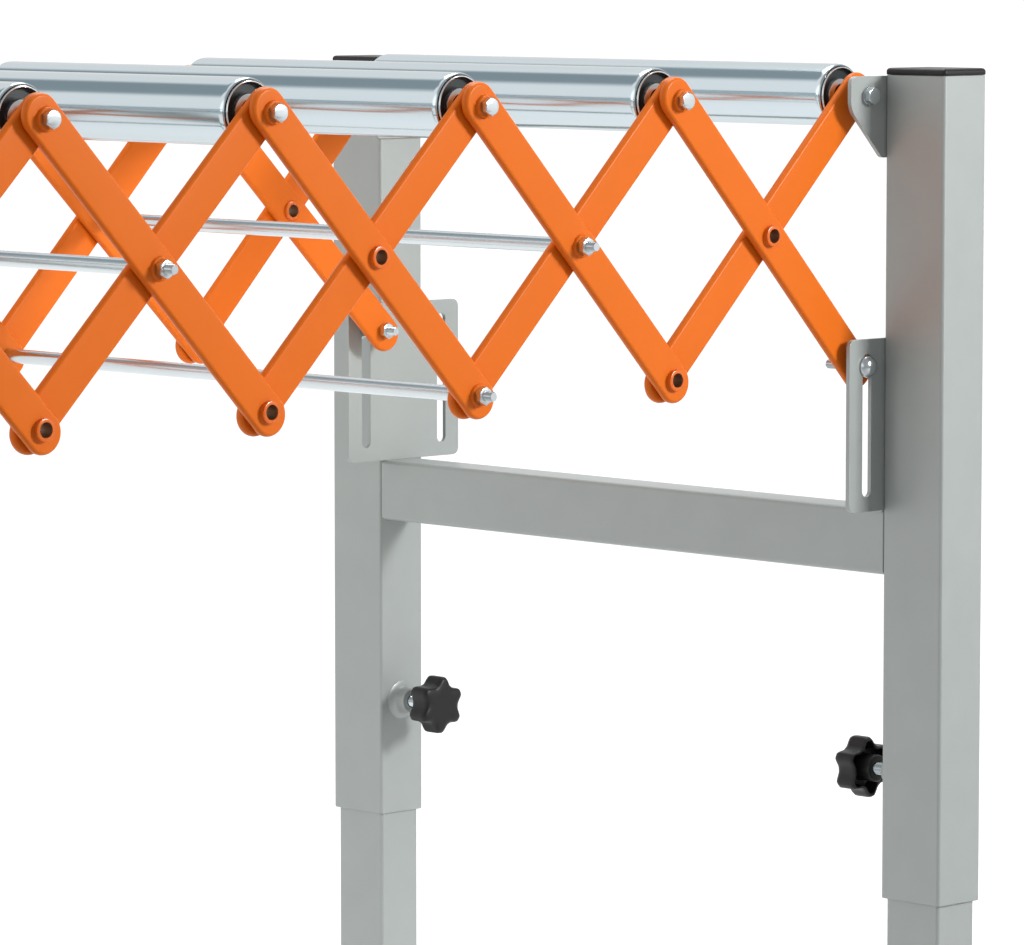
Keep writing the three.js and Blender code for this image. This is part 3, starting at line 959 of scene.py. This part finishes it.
@dataclass
class Fasteners:
    """Axles, tie rods and slot bolts with their heads, nuts, washers and spacers."""

    lattice: Lattice
    shaft: float = 5.0
    neck: float = 3.4
    flats: float = 10.0
    head: float = 4.6
    washer: float = 5.9
    washer_high: float = 0.8
    spacer: float = 6.0
    least_spacer: float = 2.0
    rod: float = 4.75
    rod_tip: float = 6.2
    rod_places: tuple[int, ...] = (2, 4)
    stud: float = 3.0
    nut: float = 5.1
    nut_gap: float = 0.3
    dome: float = 7.0
    slot_neck: float = 3.7
    slot_ring: float = 6.4
    slot_tip: float = 204.0
    steps: int = 32

    @property
    def levels(self) -> Levels:
        """Levels of the lattice."""
        return self.lattice.levels

    def ring(self, outer: float, bore: float, low: float, high: float) -> Solid:
        """Turn a plain washer or spacer along +Y.

        Args:
            outer: Outside radius.
            bore: Hole radius.
            low: Start.
            high: End.

        Returns:
            The ring.
        """
        edge = min(0.25, (high - low) / 4)
        return Solid.lathe([(bore, low), (outer - edge, low), (outer, low + edge), (outer, high - edge),
                            (outer - edge, high), (bore, high)], steps=self.steps, closed=True)

    def spacers(self, bars: Sequence[float], plate: bool) -> list[Solid]:
        """Fill the wide gaps of one top pivot's layers along +Y.

        Args:
            bars: Levels of the bars on the pivot, from the inside.
            plate: Whether a bracket plate closes the stack.

        Returns:
            The spacers.
        """
        made, start = [], self.levels.roller_end + 0.2
        half = self.levels.bar_half
        stops = [(level - half, level + half) for level in bars]
        if plate:
            stops.append((self.levels.plate_in, self.levels.plate_out))
        for low, high in stops:
            if low - start > self.least_spacer:
                made.append(self.ring(self.spacer, self.neck + 0.1, start + 0.1, low - 0.1))
            start = high
        return made

    def build(self) -> None:
        """Build and dress every axle, tie rod and slot bolt."""
        for index in range(1, CELLS + 2):
            self.add_axle(index)
        for index, place in enumerate(self.rod_places, 1):
            self.add_rod(f"upper_tie_rod_{index}", self.lattice.pivot(place), f"rising_bars_{place}",
                         self.levels.at_crossing())
        self.add_rod("lower_tie_rod_1", self.lattice.lower(2), "rising_bars_2", self.levels.at_lower())
        for end in End:
            for side in Side:
                self.add_slot_bolt(end, side)

    def add_axle(self, index: int) -> None:
        """Build one roller axle with its heads.

        Args:
            index: Number of the axle, from the right.
        """
        at = node_centre(f"roller_{index}")
        first, last = index == 1, index == CELLS + 1
        body = "right_end" if first else "left_end" if last else f"falling_bars_{index - 1}"
        long = self.levels.inner_bar - self.levels.bar_half - 0.3
        whole = Solid()
        collars = Solid()
        for side in Side:
            if first or last:
                lean = Lean.RISING if first else Lean.FALLING
                bars, base = [self.levels.bar(lean, side)], self.levels.plate_out + 0.1
                parts = [self.ring(self.washer, self.neck, base, base + self.washer_high)]
                base += self.washer_high
            else:
                bars, parts = [self.levels.inner_bar, self.levels.outer_bar], []
                high = self.lattice.axle_collar
                base = self.lattice.seat(self.levels, high)
                collars.add(self.lattice.collar_solid(self.levels, high).move(mirrored(side)))
            parts += self.spacers(bars, first or last)
            parts.append(Solid.hexagon(self.flats, base + CLEAR, base + self.head))
            parts.append(Solid.lathe([(0, 0), (self.shaft, 0), (self.shaft, long), (self.neck, long),
                                      (self.neck, base + 0.5), (0, base + 0.5)], steps=self.steps))
            whole.add(*[part.move(mirrored(side)) for part in parts])
        bmesh.ops.remove_doubles(whole.bm, verts=whole.bm.verts, dist=MERGE)
        place = shift(at.x, 0.0, at.z)
        node = f"roller_axle_{index}"
        finish_piece(f"axle_bolt_{index}", whole.move(place), body, [BOLT], [node])
        if not (first or last):
            finish_piece(f"axle_collars_{index}", collars.move(place), body, [ORANGE], smooth=50.0)

    def add_rod(self, name: str, at: Vector, body: str, levels: Levels) -> None:
        """Build one tie rod with its nuts.

        Args:
            name: Name of the CAD node.
            at: Pivot of the rod.
            body: Body that holds the rod.
            levels: Levels of the bars at the rod.
        """
        long = levels.inner_bar - levels.bar_half - 0.2
        high = self.lattice.rod_collar
        base = self.lattice.seat(levels, high)
        tip = base + self.nut + self.rod_tip
        whole, collars = Solid(), Solid()
        for side in Side:
            profile = [(0, 0), (self.rod, 0), (self.rod, long), (self.stud + 0.2, long)]
            profile += thread(self.stud, base - 2.0, tip - 0.6) + [(self.stud - 0.5, tip), (0, tip)]
            parts = [Solid.lathe(profile, steps=self.steps),
                     Solid.hexagon(self.flats, base + CLEAR, base + self.nut, self.stud + CLEAR, both=True)]
            whole.add(*[part.move(mirrored(side)) for part in parts])
            collars.add(self.lattice.collar_solid(levels, high).move(mirrored(side)))
        place = shift(at.x, 0.0, at.z)
        finish_piece(f"{name}_steel", whole.move(place), body, [BOLT], [name])
        finish_piece(f"{name}_collars", collars.move(place), body, [ORANGE], smooth=50.0)

    def add_slot_bolt(self, end: End, side: Side) -> None:
        """Build one slot bolt with its nut.

        Args:
            end: End frame of the bolt.
            side: Side of the stand.
        """
        lean, cell = (Lean.FALLING, 1) if end is End.RIGHT else (Lean.RISING, CELLS)
        node = f"{end.label}_{side.label}_slot_bolt"
        at = node_centre(node)
        level = self.levels.at_lower().bar(lean, side)
        low, high = level - self.levels.bar_half, level + self.levels.bar_half
        face, start, tip = self.levels.plate_out + 0.3, low - self.nut_gap, self.slot_tip
        profile = [(0, face + 4.5), (2.6, face + 4.35), (4.6, face + 3.7), (6.1, face + 2.4),
                   (self.dome, face + 0.9), (self.dome, face + CLEAR), (self.slot_neck, face),
                   (self.slot_neck, low)]
        profile += thread(self.stud, start, tip + 0.8) + [(self.stud - 0.6, tip), (0, tip)]
        nut = Solid.hexagon(self.flats, start, start - self.nut, self.stud + CLEAR, both=True)
        ring = self.ring(self.slot_ring, self.slot_neck + 0.05, high + 0.05, self.levels.plate_in - 0.1)
        solid = Solid.lathe(profile).add(nut, ring).move(shift(at.x, 0.0, at.z) @ mirrored(side))
        name, body = f"{end.label}_{side.label}_slide_bolt", f"{lean.label}_bars_{cell}"
        finish_piece(name, solid, body, [BOLT], [node], smooth=40.0)


@dataclass
class EndFrame:
    """One welded end frame with its caps."""

    end: End
    levels: Levels
    leg_u: float = 20.0
    leg_v: float = 25.0
    leg_wall: float = 2.0
    leg_corner: float = 2.4
    leg_low: float = 170.0
    leg_high: float = 700.0
    bar_low: float = 379.56
    bar_high: float = 421.56
    bar_half: float = 15.0
    bar_shift: float = 4.5
    bar_corner: float = 3.0
    bar_wall: float = 2.0
    bracket: Triple = (647.4, 678.4, 699.4)
    bracket_corners: tuple[float, ...] = (5.0, 5.0, 1.5, 1.5, 5.0, 5.0)
    plate_half: float = 52.5
    plate_edge: float = 0.5
    foot_half: float = 23.3
    slot_plate: Point = (421.56, 532.2)
    slot_corners: tuple[float, ...] = (5.0, 5.0, 5.0, 5.0)
    slot: Point = (431.06, 522.7)
    slot_half: float = 4.1
    pin_reach: float = 36.0
    pin_height: float = 687.0
    pin_hole: float = 3.6
    boss_height: float = 250.0
    boss_long: float = 11.0
    boss_bore: float = 4.4
    boss: float = 9.0
    cap_rim: float = 0.4
    cap_corner: float = 1.4

    @property
    def middle(self) -> Vector:
        """Middle of the end frame's near leg."""
        return node_centre(f"{self.end.label}_near_top_cap")

    @property
    def body(self) -> str:
        """Body of the end frame."""
        return f"{self.end.label}_end"

    def leg_centre(self) -> float:
        """Give the level of a leg's middle."""
        return abs(self.middle.y)

    def place(self) -> Matrix:
        """Move from the frame's own axes, in which the lattice is on -X, to its end of the stand."""
        turn = Matrix.Identity(4) if self.end is End.RIGHT else Matrix.Rotation(math.pi, 4, "Z")
        return shift(self.middle.x, 0.0, 0.0) @ turn

    def sides(self) -> dict[Side, Side]:
        """Match the frame's own sides to those of the stand.

        Returns:
            The side of the stand for each side of the frame.
        """
        if self.end is End.RIGHT:
            return {side: side for side in Side}
        return {Side.NEAR: Side.FAR, Side.FAR: Side.NEAR}

    def add(self, name: str, solid: Solid, finish: Finish = GREY, slot: Slot = Slot.FRAME,
            nodes: Sequence[str] = (), smooth: float = 40.0) -> None:
        """Finish one piece of this end.

        Args:
            name: Short name of the piece.
            solid: The solid in the frame's own axes.
            finish: Finish of the piece.
            slot: Material slot; not used.
            nodes: CAD nodes that it stands for.
            smooth: Largest angle, in degrees, shaded as one surface.
        """
        solid.move(self.place())
        finish_piece(f"{self.end.label}_{name}", solid, self.body, [finish], nodes, smooth)

    def build(self) -> None:
        """Build and dress the end frame."""
        whole = [f"{self.end.label}_end_frame"]
        self.add("crossbar", self.crossbar_solid(), nodes=whole)
        for own, side in self.sides().items():
            label = side.label
            centre = own.value * self.leg_centre()
            self.add(f"{label}_outer_leg", self.leg_solid().move(shift(0, centre, 0)), nodes=whole)
            self.add(f"{label}_top_bracket", self.bracket_solid().move(across(own)), nodes=whole)
            self.add(f"{label}_slotted_plate", self.slot_solid().move(across(own)), nodes=whole)
            self.add(f"{label}_knob_boss", self.boss_solid().move(mirrored(own)), nodes=whole, smooth=60.0)
            self.add(f"{label}_leg_cap", self.cap_solid().move(shift(0, centre, 0)), PLASTIC, Slot.PLASTIC,
                     [f"{self.end.label}_{label}_top_cap"], smooth=50.0)

    def leg_solid(self) -> Solid:
        """Model one outer leg tube.

        Returns:
            The tube, upright about the Z axis.
        """
        out = Section(self.leg_u, self.leg_v, self.leg_corner, 0.0)
        low, high, wall = self.leg_low, self.leg_high, self.leg_wall
        return Solid.loft([
            out.inset(0.5, low), out.at(low + 0.5), out.at(high - 0.3), out.inset(0.3, high),
            out.inset(wall, high), out.inset(wall, low + 0.3), out.inset(wall - 0.3, low)], hollow=True)

    def crossbar_solid(self) -> Solid:
        """Model the crossbar between the legs.

        Returns:
            The crossbar, in the frame's own axes.
        """
        reach = self.leg_centre() - self.leg_v
        half_v = (self.bar_high - self.bar_low) / 2
        out = Section(self.bar_half, half_v, self.bar_corner, 0.0)
        tip, wall = reach - 0.05, self.bar_wall
        solid = Solid.loft([
            out.inset(0.4, -tip), out.at(0.5 - reach), out.at(reach - 0.5), out.inset(0.4, tip),
            out.inset(wall, tip), out.inset(wall, -tip)], hollow=True)
        middle = (self.bar_low + self.bar_high) / 2
        return solid.move(shift(-self.bar_shift, 0.0, middle) @ across(Side.FAR))

    def bracket_solid(self) -> Solid:
        """Model the plate that holds the top axle.

        Returns:
            The bracket, in U, V and level.
        """
        low, wing, high = self.bracket
        half, foot = self.plate_half, self.foot_half
        outline = [(-half, high), (-half, wing), (-foot, low), (foot, low), (half, wing), (half, high)]
        pin = Section(self.pin_hole, self.pin_hole, self.pin_hole, 0.0)
        holes = [replace(pin, centre=(place, self.pin_height)) for place in (-self.pin_reach, self.pin_reach)]
        corners, levels = self.bracket_corners, self.levels
        return Solid.plate(outline, corners, holes, levels.plate_in, levels.plate_out).soften(self.plate_edge)

    def slot_solid(self) -> Solid:
        """Model the plate with the two slots.

        Returns:
            The slotted plate, in U, V and level.
        """
        (low, high), half = self.slot_plate, self.plate_half
        outline = [(-half, low), (half, low), (half, high), (-half, high)]
        start, stop = self.slot
        slot = Section(self.slot_half, (stop - start) / 2, self.slot_half, 0.0)
        middle = (start + stop) / 2
        holes = [replace(slot, centre=(place, middle)) for place in (-self.pin_reach, self.pin_reach)]
        corners, levels = self.slot_corners, self.levels
        return Solid.plate(outline, corners, holes, levels.plate_in, levels.plate_out).soften(self.plate_edge)

    def boss_solid(self) -> Solid:
        """Model the boss of the knob with its weld.

        Returns:
            The boss, along +Y at its height.
        """
        face = self.leg_centre() - self.leg_v
        tip, rim, bore = face - self.boss_long, self.boss, self.boss_bore
        solid = Solid.lathe([
            (bore, tip + 0.6), (bore + 0.6, tip), (rim - 0.9, tip), (rim - 0.2, tip + 0.4), (rim, tip + 1.2),
            (rim, face - 5.0), (rim + 0.5, face - 3.2), (rim + 1.7, face - 1.5), (rim + 3.4, face - 0.5),
            (rim + 4.4, face - CLEAR), (bore, face - CLEAR)], closed=True)
        return solid.move(shift(0.0, 0.0, self.boss_height))

    def cap_solid(self) -> Solid:
        """Model the black cap of one leg.

        Returns:
            The cap, upright about the Z axis.
        """
        over, inside = self.cap_rim, self.leg_wall + 0.2
        rim = Section(self.leg_u + over, self.leg_v + over, self.leg_corner + over, 0.0)
        plug = Section(self.leg_u - inside, self.leg_v - inside, self.cap_corner, 0.0)
        top = self.leg_high
        return Solid.loft([
            plug.inset(1.0, top - 12.0), plug.at(top - 10.0), plug.at(top + 0.15), rim.inset(0.5, top + 0.15),
            rim.at(top + 0.6), rim.at(top + 2.6), rim.inset(0.4, top + 3.5), rim.inset(1.3, top + 4.2),
            rim.inset(2.6, top + 4.5)])


@dataclass
class Leg:
    """One inner leg with its foot and clamp knob."""

    end: End
    side: Side
    half_u: float = 17.5
    half_v: float = 22.5
    corner: float = 2.6
    wall: float = 2.0
    foot: float = 2.0
    foot_corner: float = 4.5
    foot_high: float = 8.0
    plug_corner: float = 1.0
    plug_high: float = 20.0
    grip: float = 20.0
    valley: float = 4.4
    lobes: int = 6
    crest: float = 0.07
    round_power: float = 1.5
    tilt: float = 5.5
    knob_steps: int = 96
    grip_in: float = 194.7
    grip_out: float = 210.7
    hub: float = 8.8
    hub_out: float = 216.7
    stud: float = 4.0
    stud_out: float = 239.9
    stud_pitch: float = 1.25
    stud_steps: int = 32

    @property
    def label(self) -> str:
        """Words for this leg in piece names."""
        return f"{self.end.label}_{self.side.label}"

    def build(self) -> None:
        """Build and dress the leg, the foot and the knob."""
        body = f"{self.label}_lower_leg"
        node = f"{self.label}_inner_leg"
        low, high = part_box(node)
        at = node_centre(node)
        tube = self.tube_solid(low[2] / MM, high[2] / MM).move(shift(at.x, at.y, 0.0))
        finish_piece(f"{self.label}_sliding_leg", tube, body, [GREY], [node], smooth=40.0)
        foot = self.foot_solid().move(shift(at.x, at.y, 0.0))
        node = f"{self.label}_foot"
        finish_piece(f"{self.label}_floor_foot", foot, body, [RUBBER], [node], smooth=50.0)
        body = f"{self.label}_knob"
        node = f"{self.label}_clamp_knob"
        place = shift(at.x, 0.0, node_centre(node).z) @ mirrored(self.side)
        knob, stud = self.knob_solid().move(place), self.stud_solid().move(place)
        finish_piece(f"{self.label}_star_knob", knob, body, [PLASTIC], [node], smooth=50.0)
        finish_piece(f"{self.label}_knob_stud", stud, body, [ZINC], [node], smooth=40.0)

    def tube_solid(self, low: float, high: float) -> Solid:
        """Model the inner tube.

        Args:
            low: Lower end.
            high: Upper end.

        Returns:
            The tube.
        """
        out = Section(self.half_u, self.half_v, self.corner, 0.0)
        return Solid.loft([out.inset(0.3, low), out.at(low + 0.3), out.at(high - 0.3), out.inset(0.3, high),
                           out.inset(self.wall, high), out.inset(self.wall, low)], hollow=True)

    def foot_solid(self) -> Solid:
        """Model the foot with its plug.

        Returns:
            The foot, upright about the Z axis.
        """
        inside = self.wall + 0.3
        rim = Section(self.half_u + self.foot, self.half_v + self.foot, self.foot_corner, 0.0)
        plug = Section(self.half_u - inside, self.half_v - inside, self.plug_corner, 0.0)
        high = self.foot_high
        tip = high + self.plug_high
        return Solid.loft([
            rim.inset(1.6, 0.0), rim.inset(0.4, 0.6), rim.at(1.6), rim.at(high - 1.8),
            rim.inset(0.5, high - 0.6), rim.inset(1.4, high), plug.at(high), plug.at(tip - 2.0),
            plug.inset(1.0, tip)])

    def star(self, inset: float, level: float) -> Outline:
        """Give the knob's outline.

        Args:
            inset: Distance inside the full outline.
            level: Height of the outline.

        Returns:
            Radius and height for each angle.
        """
        first = math.radians(90.0 - self.side.value * self.tilt)

        def edge(angle: float) -> Point:
            """Give one point of the outline.

            Args:
                angle: Angle about the axis.

            Returns:
                Radius and height of the point.
            """
            turn = 0.5 - 0.5 * math.cos(self.lobes * (angle - first))
            past = max(0.0, turn - self.crest) / (1.0 - self.crest)
            dip = 1.0 - (1.0 - past) ** self.round_power
            return self.grip - inset - self.valley * dip, level
        return edge

    def knob_solid(self) -> Solid:
        """Model the lobed grip with its dished back and hub.

        Returns:
            The knob, along +Y.
        """
        solid = Solid()
        low, high = self.grip_in, self.grip_out
        outline = [(7.0, low - 0.2), (3.2, low), (1.2, low + 0.7), (0.25, low + 2.2), (0.0, low + 4.0),
                   (0.0, high - 3.0), (0.25, high - 1.2), (0.9, high - 0.2), (2.2, high - 0.2),
                   (2.8, high - 0.9), (3.3, high - 8.5), (4.2, high - 9.4)]
        loops = [solid.outline(self.knob_steps, self.star(inset, level)) for inset, level in outline]
        dish = [(self.hub + 0.7, high - 9.4), (self.hub + 0.1, high - 8.8),
                (self.hub, self.hub_out - 0.8), (self.hub - 0.8, self.hub_out),
                (self.stud + 0.6, self.hub_out), (self.stud + 0.1, self.hub_out - 0.6),
                (self.stud + 0.1, high - 2.0)]
        loops += [solid.circle(radius, level, self.knob_steps) for radius, level in dish]
        solid.bridge(loops)
        solid.fill(loops[0])
        solid.fill(loops[-1])
        return solid.move(LEVELS_TO_Y)

    def stud_solid(self) -> Solid:
        """Model the threaded stud.

        Returns:
            The stud, along +Y.
        """
        start, stop = self.grip_out - 1.9, self.stud_out
        screw = thread(self.stud, start + 2.0, stop - 0.8, self.stud_pitch)
        profile = [(0, start), (self.stud, start), *screw, (self.stud - 0.8, stop), (0, stop)]
        return Solid.lathe(profile, steps=self.stud_steps)


@dataclass(frozen=True)
class Lamp:
    """One soft lamp, which the camera does not show.

    Args:
        name: Name of the lamp.
        at: Place in metres.
        aim: Point that it faces.
        size: Side of the lamp in metres.
        power: Power in watts.
        colour: Colour of the light.
        spread: Angle that the light fills.
        glossy: Whether shiny surfaces show the lamp.
    """

    name: str
    at: Triple
    aim: Triple
    size: float
    power: float
    colour: Colour = (1.0, 1.0, 1.0)
    spread: float = math.pi
    glossy: bool = True

    def hang(self) -> None:
        """Put the lamp in the scene."""
        light = bpy.data.lights.new(self.name, "AREA")
        light.size = self.size
        light.energy = self.power
        light.color = self.colour
        light.spread = self.spread
        lamp = bpy.data.objects.new(self.name, light)
        lamp.location = self.at
        lamp.rotation_euler = (Vector(self.aim) - Vector(self.at)).to_track_quat("-Z", "Y").to_euler()
        lamp.visible_camera = False
        lamp.visible_glossy = self.glossy
        bpy.context.scene.collection.objects.link(lamp)


LAMPS = (
    Lamp("key_lamp", (1.35, -2.45, 1.42), (0.3, -0.1, 0.36), size=0.6, power=71.0),
    Lamp("fill_lamp", (2.60, -2.33, 0.55), (0.2, -0.25, 0.5), size=1.5, power=5.0),
    Lamp("top_lamp", (0.6, 0.25, 1.9), (0.5, 0.1, 0.4), size=0.8, power=14.0),
    Lamp("bounce_lamp", (0.22, -0.06, 0.54), (0.22, 0.23, 0.54), size=0.2, power=0.175,
         colour=(1.0, 0.90, 0.70), spread=math.radians(90.0), glossy=False))


@dataclass
class Studio:
    """The plain floor, the soft light and the camera."""

    floor_size: float = 200.0
    floor_step: Point = (-0.6, 0.15)
    floor_glow: Point = (0.04, 0.78)
    room_step: Point = (-0.2, 0.45)
    room_light: Point = (0.40, 1.08)
    left_step: Point = (-0.72, -0.92)
    left_light: Point = (0.0, 0.8)
    strip_colour: Colour = (0.32, 0.37, 0.40)
    strip_edges: tuple[tuple[str, Point], ...] = (
        ("X", (-0.51, -0.33)), ("X", (0.20, 0.04)), ("Z", (0.42, 0.52)), ("Z", (0.88, 0.78)),
        ("Y", (0.2, 0.5)))
    eye: Triple = (-2.1805, -2.6059, 0.7845)
    yaw: float = 46.040
    pitch: float = 5.498
    lens: float = 194.01
    sensor: float = 36.0
    sight: float = 200.0

    def build(self) -> None:
        """Build the studio."""
        self.add_floor()
        self.add_world()
        for lamp in LAMPS:
            lamp.hang()
        self.add_camera()
        bpy.context.scene.view_settings.view_transform = "Standard"

    def add_floor(self) -> None:
        """Lay the pale floor, which glows more behind the stand than in front of it."""
        bm = bmesh.new()
        bmesh.ops.create_grid(bm, x_segments=1, y_segments=1, size=self.floor_size / 2)
        mesh = bpy.data.meshes.new("studio_floor")
        bm.to_mesh(mesh)
        bm.free()
        floor = bpy.data.objects.new("studio_floor", mesh)
        bpy.context.scene.collection.objects.link(floor)
        pale = PALE.material()
        tree = pale.node_tree
        place, split = tree.nodes.new("ShaderNodeTexCoord"), tree.nodes.new("ShaderNodeSeparateXYZ")
        tree.links.new(place.outputs["Object"], split.inputs[0])
        shader = tree.nodes["Principled BSDF"]
        shader.inputs["Emission Strength"].default_value = 1.0
        glow = smooth_step(tree, split.outputs["Y"], self.floor_step, self.floor_glow)
        tree.links.new(glow, shader.inputs["Emission Color"])
        mesh.materials.append(pale)

    def add_world(self) -> None:
        """Light the room softly, dimmer in front, with one dark strip over the rollers."""
        world = bpy.data.worlds.new("studio")
        world.use_nodes = True
        bpy.context.scene.world = world
        tree = world.node_tree
        nodes, link = tree.nodes, tree.links.new
        place, split = nodes.new("ShaderNodeTexCoord"), nodes.new("ShaderNodeSeparateXYZ")
        link(place.outputs["Generated"], split.inputs[0])
        edges = [smooth_step(tree, split.outputs[axis], edge) for axis, edge in self.strip_edges]
        mask = edges[0]
        for edge in edges[1:]:
            mask = math_node(tree, "MULTIPLY", mask, edge)
        sky = nodes.new("ShaderNodeMix")
        sky.data_type = "RGBA"
        sky.inputs["A"].default_value = (1.0, 1.0, 1.0, 1.0)
        sky.inputs["B"].default_value = (*self.strip_colour, 1.0)
        link(mask, sky.inputs["Factor"])
        link(sky.outputs["Result"], nodes["Background"].inputs["Color"])
        room = smooth_step(tree, split.outputs["Y"], self.room_step, self.room_light)
        left = smooth_step(tree, split.outputs["X"], self.left_step, self.left_light)
        link(math_node(tree, "ADD", room, left), nodes["Background"].inputs["Strength"])

    def add_camera(self) -> None:
        """Set the camera at the photo's angle."""
        data = bpy.data.cameras.new("camera")
        data.lens = self.lens
        data.sensor_width = self.sensor
        data.clip_end = self.sight
        camera = bpy.data.objects.new("camera", data)
        camera.location = self.eye
        yaw, pitch = math.radians(self.yaw), math.radians(self.pitch)
        ahead = Vector((math.cos(yaw) * math.cos(pitch), math.sin(yaw) * math.cos(pitch), -math.sin(pitch)))
        camera.rotation_euler = ahead.to_track_quat("-Z", "Y").to_euler()
        bpy.context.scene.collection.objects.link(camera)
        bpy.context.scene.camera = camera


def write_sizes() -> None:
    """Log the end of the build.
    """
    LOG.info("sizes written")


def main() -> None:
    """Build every sub-assembly in order."""
    logging.basicConfig(level=logging.INFO, format="%(message)s")
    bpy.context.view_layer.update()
    levels = Levels()
    lattice = Lattice(levels)
    lattice.build()
    for index in range(1, CELLS + 2):
        Roller(levels).build(index)
    Fasteners(lattice).build()
    for end in End:
        EndFrame(end, levels).build()
        for side in Side:
            Leg(end, side).build()
    Studio().build()
    write_sizes()


if __name__ == "__main__":
    main()
